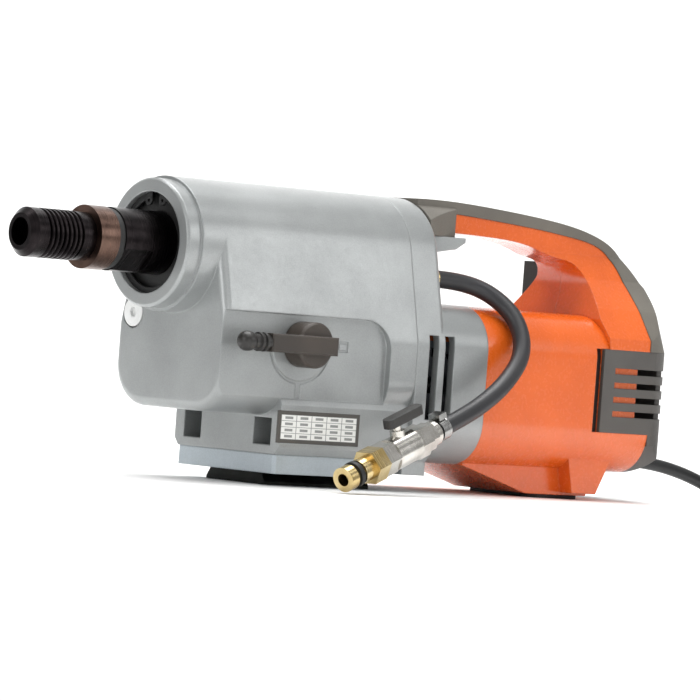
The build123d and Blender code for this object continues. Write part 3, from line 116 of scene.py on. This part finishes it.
# the paper lies a fifth of a millimetre low, so that it never shares a plane with the feet
PAPER_DROP = 0.0002
sweep_mesh = bpy.data.meshes.new("paper_sweep")
profile = [(-PAPER_HALF_WIDTH, 0.0), (BEND_START, 0.0)]
for step in range(1, BEND_STEPS + 1):
    angle = math.pi / 2 * step / BEND_STEPS
    profile.append((BEND_START + BEND_RADIUS * math.sin(angle), BEND_RADIUS - BEND_RADIUS * math.cos(angle)))
profile.append((BEND_START + BEND_RADIUS, WALL_TOP))
across = Vector((level_right.x, level_right.y, 0))
away = Vector((-backwards.x, -backwards.y, 0)).normalized()
corners = []
for distance, height in profile:
    for side in (-PAPER_HALF_WIDTH, PAPER_HALF_WIDTH):
        corners.append(away * distance + across * side + Vector((0, 0, height - PAPER_DROP)))
quads = [(2 * n, 2 * n + 1, 2 * n + 3, 2 * n + 2) for n in range(len(profile) - 1)]
sweep_mesh.from_pydata(corners, [], quads)
sweep_mesh.shade_smooth()
sweep = bpy.data.objects.new("paper_sweep", sweep_mesh)
bpy.context.scene.collection.objects.link(sweep)
print("sweep of", len(quads), "strips")

# %% [markdown]
# The light is a white tent: an even, soft surround, plus large soft boxes. One long box above
# the near side draws the bright band along the shoulder of the gear case, one at the front lights
# the nose, and one at the rear keeps the orange housing bright. A low one lifts the side faces,
# one overhead lights the top, and the strongest shines on the paper wall behind.

# %% Studio light
scene = bpy.context.scene
scene.view_settings.view_transform = "Standard"
world = bpy.data.worlds.new("white_tent")
scene.world = world
world.use_nodes = True
tent = world.node_tree.nodes["Background"].inputs
tent["Color"].default_value = (1, 1, 1, 1)
tent["Strength"].default_value = 0.42


def soft_box(name, place, target, width, height, power):
    """A rectangular area light at a place, facing a target, all in metres."""
    light = bpy.data.lights.new(name, "AREA")
    light.shape = "RECTANGLE"
    light.size = width
    light.size_y = height
    light.energy = power
    box = bpy.data.objects.new(name, light)
    scene.collection.objects.link(box)
    box.location = place
    box.rotation_euler = (Vector(target) - Vector(place)).to_track_quat("-Z", "Y").to_euler()
    return box


soft_box("shoulder_box", (0.0, -0.75, 1.35), (0.0, 0, 0.1), 1.8, 0.35, 6)
soft_box("nose_box", (-1.9, -0.3, 0.7), (-0.1, 0, 0.1), 0.9, 0.9, 8)
soft_box("rear_box", (1.1, -1.5, 0.8), (0.2, 0, 0.1), 0.7, 0.7, 4)
soft_box("side_box", (-0.5, -2.2, 0.45), (0.0, 0, 0.08), 1.6, 0.8, 7)
soft_box("top_box", (0.1, 0.3, 2.0), (0.1, 0, 0.1), 1.6, 1.2, 14)
soft_box("paper_box", (0.5, 0.9, 3.2), (1.2, 1.6, 0.3), 3.0, 3.0, 120)

# %% [markdown]
# Every finish is a small tree of nodes. One function adds a node, sets it and links it, so that
# each material below reads as a list of what it is made from. Patterns read Object coordinates,
# which are metres here, so a scale is simply one over the pattern's real size.

# %% Helpers for finishes


def add(tree, kind, settings=None, inputs=None):
    """Adds a node, with its settings and with numbers, colours or other nodes' sockets as inputs."""
    node = tree.nodes.new(kind)
    for name, value in (settings or {}).items():
        setattr(node, name, value)
    for name, value in (inputs or {}).items():
        if isinstance(value, bpy.types.NodeSocket):
            tree.links.new(value, node.inputs[name])
        else:
            node.inputs[name].default_value = value
    return node


def new_finish(name, **shader_values):
    """An empty material: returns it, its tree, its shader and its Object coordinates."""
    material = bpy.data.materials.new(name)
    material.use_nodes = True
    tree = material.node_tree
    shader = tree.nodes["Principled BSDF"]
    for socket, value in shader_values.items():
        shader.inputs[socket.replace("_", " ")].default_value = value
    coordinates = add(tree, "ShaderNodeTexCoord").outputs["Object"]
    return material, tree, shader, coordinates


def between(tree, factor, low, high, start=0.35, end=0.65):
    """A colour that runs from low to high as the factor goes from start to end."""
    ramp = add(tree, "ShaderNodeValToRGB", inputs={"Fac": factor})
    ramp.color_ramp.elements[0].position = start
    ramp.color_ramp.elements[0].color = low
    ramp.color_ramp.elements[1].position = end
    ramp.color_ramp.elements[1].color = high
    return ramp.outputs["Color"]


def spread(tree, factor, low, high):
    """A number that runs from low to high as the factor goes over its usual middle range."""
    return add(tree, "ShaderNodeMapRange", inputs={
        "Value": factor, "From Min": 0.3, "From Max": 0.7, "To Min": low, "To Max": high,
    }).outputs["Result"]


finishes = {}


def dress(material, *names):
    """Gives CAD nodes this finish."""
    for name in names:
        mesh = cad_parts[name].data
        mesh.materials.clear()
        mesh.materials.append(material)
    finishes[material.name] = material


print("helpers ready")

# %% [markdown]
# The paper sweep is matt and nearly white. It is lit until it is as white as the surround, so
# only the contact shadow under the machine shows on it.

# %% White paper
paper, tree, shader, where = new_finish("matt_white_paper", Roughness=0.9)
fibres = add(tree, "ShaderNodeTexNoise", inputs={"Vector": where, "Scale": 1 / (4 * MM)})
paper_white = between(tree, fibres.outputs["Fac"], paint("f6f6f5"), paint("fbfbfb"))
tree.links.new(paper_white, shader.inputs["Base Color"])
sweep_mesh.materials.append(paper)
print("paper on", sweep.name)

# %% [markdown]
# The gear case, the middle casting and the feet are die-cast aluminium, shot-blasted and sprayed
# with silver lacquer. What the eye sees is a satin grey with a soft sheen, a slight cloudiness
# where the flakes lie differently, and an orange-peel skin. The flakes are 0.05 mm, too fine to
# show, so they are drawn at 0.7 mm.

# %% Silver lacquer on castings


def silver_lacquer(name, light, dark, rough_low, rough_high):
    """Silver lacquer between two greys, with peel about 3 mm across."""
    material, tree, shader, where = new_finish(name, Metallic=0.42, Coat_Weight=0.25, Coat_Roughness=0.28)
    cloud = add(tree, "ShaderNodeTexNoise", inputs={"Vector": where, "Scale": 1 / (45 * MM), "Detail": 3.0})
    flake = add(tree, "ShaderNodeTexNoise", inputs={"Vector": where, "Scale": 1 / (0.7 * MM), "Detail": 1.0})
    peel = add(tree, "ShaderNodeTexNoise", inputs={"Vector": where, "Scale": 1 / (3 * MM), "Detail": 2.0})
    broad = between(tree, cloud.outputs["Fac"], paint(dark), paint(light))
    fine = between(tree, flake.outputs["Fac"], (0.9, 0.9, 0.9, 1), (1, 1, 1, 1))
    mixed = add(tree, "ShaderNodeMix", {"data_type": "RGBA", "blend_type": "MULTIPLY"},
                {0: 1.0, 6: broad, 7: fine})
    tree.links.new(mixed.outputs[2], shader.inputs["Base Color"])
    tree.links.new(spread(tree, peel.outputs["Fac"], rough_low, rough_high), shader.inputs["Roughness"])
    edge = add(tree, "ShaderNodeBevel", {"samples": 6}, {"Radius": 1.5 * MM})
    skin = add(tree, "ShaderNodeBump", inputs={
        "Height": peel.outputs["Fac"], "Strength": 0.25, "Distance": 0.1 * MM,
        "Normal": edge.outputs["Normal"]})
    tree.links.new(skin.outputs["Normal"], shader.inputs["Normal"])
    return material


lacquer = silver_lacquer("silver_lacquer_on_die_cast_aluminium", "a3a6a6", "979a9a", 0.28, 0.36)
dress(lacquer, "gear_case", "middle_casting")
foot_lacquer = silver_lacquer("cool_silver_lacquer_on_adapter", "b4bec4", "aab3b9", 0.32, 0.42)
dress(foot_lacquer, "adapter_plate")
print("silver parts dressed")

# %% [markdown]
# Plastics and rubbers get their look from the mould. A spark-eroded mould leaves a grain on the
# part, fine on a glossy housing and coarse on a soft grip. Colour barely changes, but gloss does.

# %% Moulded plastics and rubbers


def moulded(name, light, dark, grain, roughness, depth, **shader_values):
    """Moulded stuff: two close colours, a grain in mm, a roughness and the grain's depth in mm."""
    material, tree, shader, where = new_finish(name, **shader_values)
    cloud = add(tree, "ShaderNodeTexNoise", inputs={"Vector": where, "Scale": 1 / (38 * MM), "Detail": 4.0})
    skin = add(tree, "ShaderNodeTexNoise", inputs={"Vector": where, "Scale": 1 / (grain * MM), "Detail": 2.0})
    colour = between(tree, cloud.outputs["Fac"], paint(dark), paint(light))
    gloss = spread(tree, skin.outputs["Fac"], roughness * 0.85, roughness * 1.15)
    tree.links.new(colour, shader.inputs["Base Color"])
    tree.links.new(gloss, shader.inputs["Roughness"])
    edge = add(tree, "ShaderNodeBevel", {"samples": 6}, {"Radius": 1.2 * MM})
    bump = add(tree, "ShaderNodeBump", inputs={
        "Height": skin.outputs["Fac"], "Strength": 0.5, "Distance": depth * MM,
        "Normal": edge.outputs["Normal"]})
    tree.links.new(bump.outputs["Normal"], shader.inputs["Normal"])
    return material


orange = moulded("orange_glossy_polyamide", "d9601a", "d05a17", 2.5, 0.26, 0.02,
                 Coat_Weight=0.5, Coat_Roughness=0.12)
dress(orange, "motor_housing", "handle_near", "handle_far")
soft_grey = moulded("warm_grey_soft_grip", "67635b", "5e5a53", 0.9, 0.6, 0.08)
dress(soft_grey, "grip_band")
hard_grey = moulded("dark_grey_glass_filled_polyamide", "504d49", "484542", 1.0, 0.5, 0.06)
dress(hard_grey, "rear_cover", "label_frame")
black_plastic = moulded("black_glass_filled_polyamide", "221f1c", "1a1816", 1.1, 0.38, 0.05)
dress(black_plastic, "knob_tip", "valve_lever", "switch_body", "switch_rocker", "mains_plug",
      "brush_bracket", "control_module", "brush_holders", "fan")
knob_plastic = moulded("brown_black_knob_polyamide", "3b332c", "2f2924", 1.2, 0.42, 0.05)
dress(knob_plastic, "knob")
black_rubber = moulded("black_nitrile_rubber", "141414", "0e0e0e", 0.8, 0.55, 0.06)
# the foot pad is real rubber, and its black also stands in for the contact shadow under the orange foot:
# partly the pad's own colour, partly painted shade
dress(black_rubber, "foot_pad", "nose_seal", "coupler_ring", "nose_clip", "slinger_ring")
print("moulded parts dressed")

# %% [markdown]
# Turned metal carries the lathe's fine rings. They run round the part's own axis, so the pattern
# reads only the distance along that axis: the dot product of the place and the axis direction.
# Real feed marks are 0.1 mm apart, and are drawn at 0.8 mm so that they can be seen.

# %% Turned and ground metals
# the tap is in line with the last stretch of the hose, whose route in millimetres is this
HOSE_ROUTE = [
    (88, -30, 143),
    (113, -30, 143),
    (134, -41, 135.5),
    (143.5, -58.5, 118.5),
    (138, -71.5, 96),
    (118.5, -76.5, 76),
    (93, -83, 61.5),
    (66, -89.55, 50.4),
    (42, -94, 41.5),
]
tap_axis = (point(*HOSE_ROUTE[-1]) - point(*HOSE_ROUTE[-2])).normalized()


def turned_metal(name, light, dark, axis, ring, roughness, metallic=1.0):
    """Metal turned round an axis, with rings a given distance in mm apart."""
    material, tree, shader, where = new_finish(name, Metallic=metallic)
    along = add(tree, "ShaderNodeVectorMath", {"operation": "DOT_PRODUCT"}, {0: where, 1: axis})
    rings = add(tree, "ShaderNodeTexNoise", {"noise_dimensions": "1D"}, {
        "W": along.outputs["Value"], "Scale": 1 / (ring * MM), "Detail": 2.0})
    wear = add(tree, "ShaderNodeTexNoise", inputs={"Vector": where, "Scale": 1 / (12 * MM), "Detail": 5.0})
    colour = between(tree, wear.outputs["Fac"], paint(dark), paint(light))
    polish = spread(tree, rings.outputs["Fac"], roughness * 0.8, roughness * 1.25)
    tree.links.new(colour, shader.inputs["Base Color"])
    tree.links.new(polish, shader.inputs["Roughness"])
    bump = add(tree, "ShaderNodeBump", inputs={
        "Height": rings.outputs["Fac"], "Strength": 0.35, "Distance": 0.04 * MM})
    tree.links.new(bump.outputs["Normal"], shader.inputs["Normal"])
    return material


dark_steel = turned_metal("oiled_black_oxide_steel", "2a2627", "1c191a", (1, 0, 0), 0.8, 0.3)
dress(dark_steel, "spindle")
bronze = turned_metal("bronze_release_ring", "6b554b", "54423b", (1, 0, 0), 0.8, 0.3)
dress(bronze, "release_ring")
gear_steel = turned_metal("case_hardened_gear_steel", "8d8a86", "77746f", (1, 0, 0), 1.2, 0.32)
dress(gear_steel, "spindle_gear", "output_shaft", "draw_key", "free_gear_32", "free_gear_27", "free_gear_23",
      "layshaft", "first_gear", "armature_shaft", "selector_shaft", "shift_fork", "fork_rail", "plate_screws")
bright_steel = turned_metal("ground_bearing_steel", "b4b4b2", "9c9c9a", (1, 0, 0), 1.5, 0.2)
dress(bright_steel, "gearbox_bearings", "armature_bearings", "hose_clamp", "plug_pins")
laminations = turned_metal("varnished_electrical_steel_laminations", "5c5f63", "4a4c50", (1, 0, 0), 1.0, 0.4)
dress(laminations, "armature_core", "field_stator")
# painted shade: the mounting plate gets a near-black steel colour that stands in for the shade it sits in
# under the gear case
mounting_plate_painted_shade = turned_metal("near_black_mounting_plate_steel_as_painted_shade", "2b2c2a", "1f201f", (1, 0, 0), 1.6, 0.4)
dress(mounting_plate_painted_shade, "mounting_plate")
copper = turned_metal("enamelled_copper", "a5562b", "8c4521", (0, 1, 0), 1.1, 0.35)
dress(copper, "field_coils", "commutator")
nickel = turned_metal("nickel_plated_brass", "d6d3cd", "bdbab3", tap_axis, 1.3, 0.2)
dress(nickel, "valve_body", "valve_ball")
brass = turned_metal("bright_turned_brass", "d8c596", "c4ab74", tap_axis, 1.2, 0.22)
dress(brass, "coupler", "water_union")
carbon = moulded("pressed_carbon_graphite", "2b2c2e", "202123", 0.9, 0.5, 0.03)
dress(carbon, "carbon_brushes")
white_cap = moulded("white_acetal_plug", "e4e5e4", "d8d9d8", 1.4, 0.35, 0.03)
dress(white_cap, "plug_screw")
print("metals dressed")

# %% [markdown]
# The speed table is a printed plate: white film with thin grey rules and grey bars where the
# figures would be. The rules are narrow bands of the plate's own X and Z, in millimetres.

# %% Printed plate
low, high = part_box("label_plate")
plate_size = high - low
printed, tree, shader, where = new_finish("white_printed_film", Roughness=0.3)
shifted = add(tree, "ShaderNodeMapping", {"vector_type": "POINT"}, {
    "Vector": where, "Location": (-low.x, 0, -low.z)})
parts = add(tree, "ShaderNodeSeparateXYZ", inputs={"Vector": shifted.outputs["Vector"]})


def bands(socket, pitch, share, shift=0.0):
    """1 on the lines that repeat at a pitch in metres and take up a share of it, and 0 elsewhere."""
    scaled = add(tree, "ShaderNodeMath", {"operation": "MULTIPLY_ADD"}, {0: socket, 1: 1 / pitch, 2: shift})
    part = add(tree, "ShaderNodeMath", {"operation": "FRACT"}, {0: scaled.outputs[0]})
    return add(tree, "ShaderNodeMath", {"operation": "LESS_THAN"}, {0: part.outputs[0], 1: share}).outputs[0]


rows = bands(parts.outputs["Z"], plate_size.z / 4, 0.10, 0.05)
columns = bands(parts.outputs["X"], plate_size.x / 5, 0.045, 0.02)
bar_rows = bands(parts.outputs["Z"], plate_size.z / 4, 0.42, 0.70)
bar_columns = bands(parts.outputs["X"], plate_size.x / 5, 0.52, 0.75)
rules = add(tree, "ShaderNodeMath", {"operation": "MAXIMUM"}, {0: rows, 1: columns})
bars = add(tree, "ShaderNodeMath", {"operation": "MULTIPLY"}, {0: bar_rows, 1: bar_columns})
ink = add(tree, "ShaderNodeMath", {"operation": "MAXIMUM"}, {0: rules.outputs[0], 1: bars.outputs[0]})
print_colour = between(tree, ink.outputs[0], paint("e9e9e6"), paint("8f918f"), 0.4, 0.9)
tree.links.new(print_colour, shader.inputs["Base Color"])
dress(printed, "label_plate")
print("plate is", round(plate_size.x / MM, 1), "by", round(plate_size.z / MM, 1), "mm")

# %% [markdown]
# A hose is a fixed length of rubber. It is drawn as one smooth NURBS spline through the corners of
# its route and given a round section. Order 3 makes each stretch a gentle curve. The order and the
# end points are set after the points are added, because Blender lowers them otherwise.

# %% Helper for hoses and cords


def flexible(name, route, radius, material):
    """A round tube along a NURBS spline, whose control points are given in millimetres."""
    curve = bpy.data.curves.new(name, "CURVE")
    curve.dimensions = "3D"
    spline = curve.splines.new("NURBS")
    spline.points.add(len(route) - 1)
    for control, place in zip(spline.points, route):
        control.co = (*(Vector(place) * MM), 1)
    spline.order_u = 3
    spline.use_endpoint_u = True
    spline.resolution_u = 6
    curve.bevel_depth = radius * MM
    curve.bevel_resolution = 5
    curve.use_fill_caps = True
    curve.materials.append(material)
    tube = bpy.data.objects.new(name, curve)
    scene.collection.objects.link(tube)
    return tube


def spline_length(tube):
    """The length of a tube's centreline, measured on the smooth spline."""
    plain = tube.data.copy()
    plain.bevel_depth = 0
    ghost = bpy.data.objects.new("ghost", plain)
    mesh = bpy.data.meshes.new_from_object(ghost)
    length = sum((mesh.vertices[a].co - mesh.vertices[b].co).length for a, b in
                 (edge.vertices for edge in mesh.edges))
    bpy.data.objects.remove(ghost)
    bpy.data.meshes.remove(mesh)
    bpy.data.curves.remove(plain)
    return length


print("tube helper ready")

# %% [markdown]
# The water hose is 12 mm EPDM rubber. It leaves the casting level, bends round to the near side
# and hangs down to the tap. Its skin is satin black with faint cloth marks from curing.

# %% Water hose
hose_rubber = moulded("satin_black_epdm_rubber", "232326", "1b1b1e", 1.3, 0.42, 0.06)
HOSE_RADIUS = 6
hose = flexible("water_hose_tube", HOSE_ROUTE, HOSE_RADIUS, hose_rubber)
hose_length = spline_length(hose)
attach(hose, "housing")
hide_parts("water_hose")
print("hose length", round(hose_length / MM), "mm")

# %% [markdown]
# The mains cord is 9 mm rubber cable. It droops from the strain relief to the table and runs to a
# neat coil of twelve turns, three beside each other and four high. Within a layer a turn steps
# sideways over its last quarter, and between layers it climbs just before that, so that no two
# turns meet. The coil is drawn by the same spline as the rest of the cord.

# %% Mains cord
cord_rubber = moulded("black_rubber_cable_sheath", "1d1d1e", "161617", 0.9, 0.5, 0.05)
CORD_ROUTE = [(312, 25, 27), (348, 25, 27), (392, 25, 20), (434, 25, 5), (470, 25, 4.7)]
TAIL_ROUTE = [(470, -93, 31.7), (444, -93, 31.7), (409, -93, 18.2), (382, -93, 18.2)]
CORD_RADIUS = 4.5
COIL_CENTRE = (496, -34)
COIL_RADIUS = 50
COIL_TURNS = 11.5
FIRST_LAYER_HEIGHT = 4.7
SPACING = 9.2
COLUMNS = [1, 0, -1, -1, 0, 1, 1, 0, -1, -1, 0, 1]
POINTS_PER_TURN = 16
# a quadratic spline runs inside its control points by this much
SHRINK = math.cos(math.pi / POINTS_PER_TURN)


def eased(value, start, end):
    """0 before start, 1 after end, and smooth between."""
    share = min(1, max(0, (value - start) / (end - start)))
    return share * share * (3 - 2 * share)


coil = []
for number in range(int(COIL_TURNS * POINTS_PER_TURN) + 1):
    turns = (number - 0.5) / POINTS_PER_TURN
    at = max(0, int(turns))
    part = turns - at
    after = min(at + 1, len(COLUMNS) - 1)
    column = COLUMNS[at] + (COLUMNS[after] - COLUMNS[at]) * eased(part, 0.74, 1.0)
    layer = at // 3 + (after // 3 - at // 3) * eased(part, 0.45, 0.72)
    radius = (COIL_RADIUS + column * SPACING) / SHRINK
    angle = math.pi / 2 - 2 * math.pi * turns
    coil.append((COIL_CENTRE[0] + radius * math.cos(angle), COIL_CENTRE[1] + radius * math.sin(angle),
                 FIRST_LAYER_HEIGHT + layer * SPACING))
cord = flexible("mains_cord", CORD_ROUTE + coil + TAIL_ROUTE, CORD_RADIUS, cord_rubber)
cord_length = spline_length(cord)
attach(cord, "housing")
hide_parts("power_cord", "cord_coil", "cord_tail")
print("cord length", round(cord_length, 3), "m")

# %% [markdown]
# The strain relief is a moulded rubber sleeve that tapers towards the cord, with ribs that let it
# bend evenly. The sleeve is a turned profile. The ribs repeat along it, so Geometry Nodes place
# them: one ring on each point of a line, each a little smaller than the one before it.

# %% Strain relief sleeve
RELIEF_START = 274
RELIEF_END, RELIEF_Y, RELIEF_Z = CORD_ROUTE[0]
sleeve_profile = [(RELIEF_START, 0), (RELIEF_START, 8.8), (291, 8.8), (292, 8.2), (293, 6.6),
                  (311, 5.2), (RELIEF_END, 4.9), (RELIEF_END, 4.6)]
sleeve_mesh = bpy.data.meshes.new("strain_relief_sleeve")
shape = bmesh.new()
outline = [shape.verts.new(point(x, RELIEF_Y, RELIEF_Z + radius)) for x, radius in sleeve_profile]
for first, second in zip(outline, outline[1:]):
    shape.edges.new((first, second))
bmesh.ops.spin(shape, geom=list(shape.verts) + list(shape.edges), cent=point(0, RELIEF_Y, RELIEF_Z),
               axis=(1, 0, 0), angle=2 * math.pi, steps=48, use_merge=True)
bmesh.ops.remove_doubles(shape, verts=shape.verts, dist=0.01 * MM)
bmesh.ops.recalc_face_normals(shape, faces=shape.faces)
shape.to_mesh(sleeve_mesh)
shape.free()
sleeve_mesh.materials.append(cord_rubber)
sleeve = bpy.data.objects.new("strain_relief_sleeve", sleeve_mesh)
scene.collection.objects.link(sleeve)
print("sleeve faces:", len(sleeve_mesh.polygons))

# %% Ribs along the sleeve
FIRST_RIB_X = 294.5
rib_sizes = {"Ribs": 6, "Pitch": 3 * MM, "First radius": 6.7 * MM, "Last scale": 0.85, "Thickness": 0.75 * MM}
ribs = bpy.data.node_groups.new("ribs_on_a_taper", "GeometryNodeTree")
for label, value in rib_sizes.items():
    kind = "NodeSocketInt" if isinstance(value, int) else "NodeSocketFloat"
    ribs.interface.new_socket(label, in_out="INPUT", socket_type=kind)
ribs.interface.new_socket("Geometry", in_out="OUTPUT", socket_type="NodeSocketGeometry")
given = ribs.nodes.new("NodeGroupInput").outputs
step = add(ribs, "ShaderNodeCombineXYZ", inputs={"X": given["Pitch"]})
places = add(ribs, "GeometryNodeMeshLine", inputs={
    "Count": given["Ribs"], "Start Location": point(FIRST_RIB_X, RELIEF_Y, RELIEF_Z),
    "Offset": step.outputs[0]})
loop = add(ribs, "GeometryNodeCurvePrimitiveCircle", inputs={
    "Resolution": 48, "Radius": given["First radius"]})
section = add(ribs, "GeometryNodeCurvePrimitiveCircle", inputs={
    "Resolution": 10, "Radius": given["Thickness"]})
ring = add(ribs, "GeometryNodeCurveToMesh", inputs={
    "Curve": loop.outputs["Curve"], "Profile Curve": section.outputs["Curve"]})
last = add(ribs, "ShaderNodeMath", {"operation": "SUBTRACT"}, {0: given["Ribs"], 1: 1.0})
taper = add(ribs, "ShaderNodeMapRange", inputs={
    "Value": add(ribs, "GeometryNodeInputIndex").outputs[0], "From Min": 0.0,
    "From Max": last.outputs[0], "To Min": 1.0, "To Max": given["Last scale"]})
placed = add(ribs, "GeometryNodeInstanceOnPoints", inputs={
    "Points": places.outputs["Mesh"], "Instance": ring.outputs["Mesh"],
    "Rotation": (0.0, math.pi / 2, 0.0), "Scale": taper.outputs["Result"]})
real = add(ribs, "GeometryNodeRealizeInstances", inputs={"Geometry": placed.outputs["Instances"]})
rubbered = add(ribs, "GeometryNodeSetMaterial", inputs={
    "Geometry": real.outputs["Geometry"], "Material": cord_rubber})
add(ribs, "NodeGroupOutput", inputs={"Geometry": rubbered.outputs["Geometry"]})


def made_by(tree, name, sizes):
    """The plain mesh that a Geometry Nodes tree makes from its sizes, as an object."""
    holder = bpy.data.objects.new(name, bpy.data.meshes.new(name + "_start"))
    scene.collection.objects.link(holder)
    modifier = holder.modifiers.new("nodes", "NODES")
    modifier.node_group = tree
    for socket in tree.interface.items_tree:
        if socket.name in sizes:
            modifier[socket.identifier] = sizes[socket.name]
    depsgraph = bpy.context.evaluated_depsgraph_get()
    plain = bpy.data.meshes.new_from_object(holder.evaluated_get(depsgraph))
    holder.modifiers.remove(modifier)
    holder.data = plain
    plain.name = name
    return holder


rib_piece = made_by(ribs, "strain_relief_ribs", rib_sizes)
rib_piece.data.shade_smooth()
sleeve_mesh.shade_smooth()
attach(sleeve, "housing")
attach(rib_piece, "housing")
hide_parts("strain_relief")
print("ribs:", len(rib_piece.data.polygons), "faces")
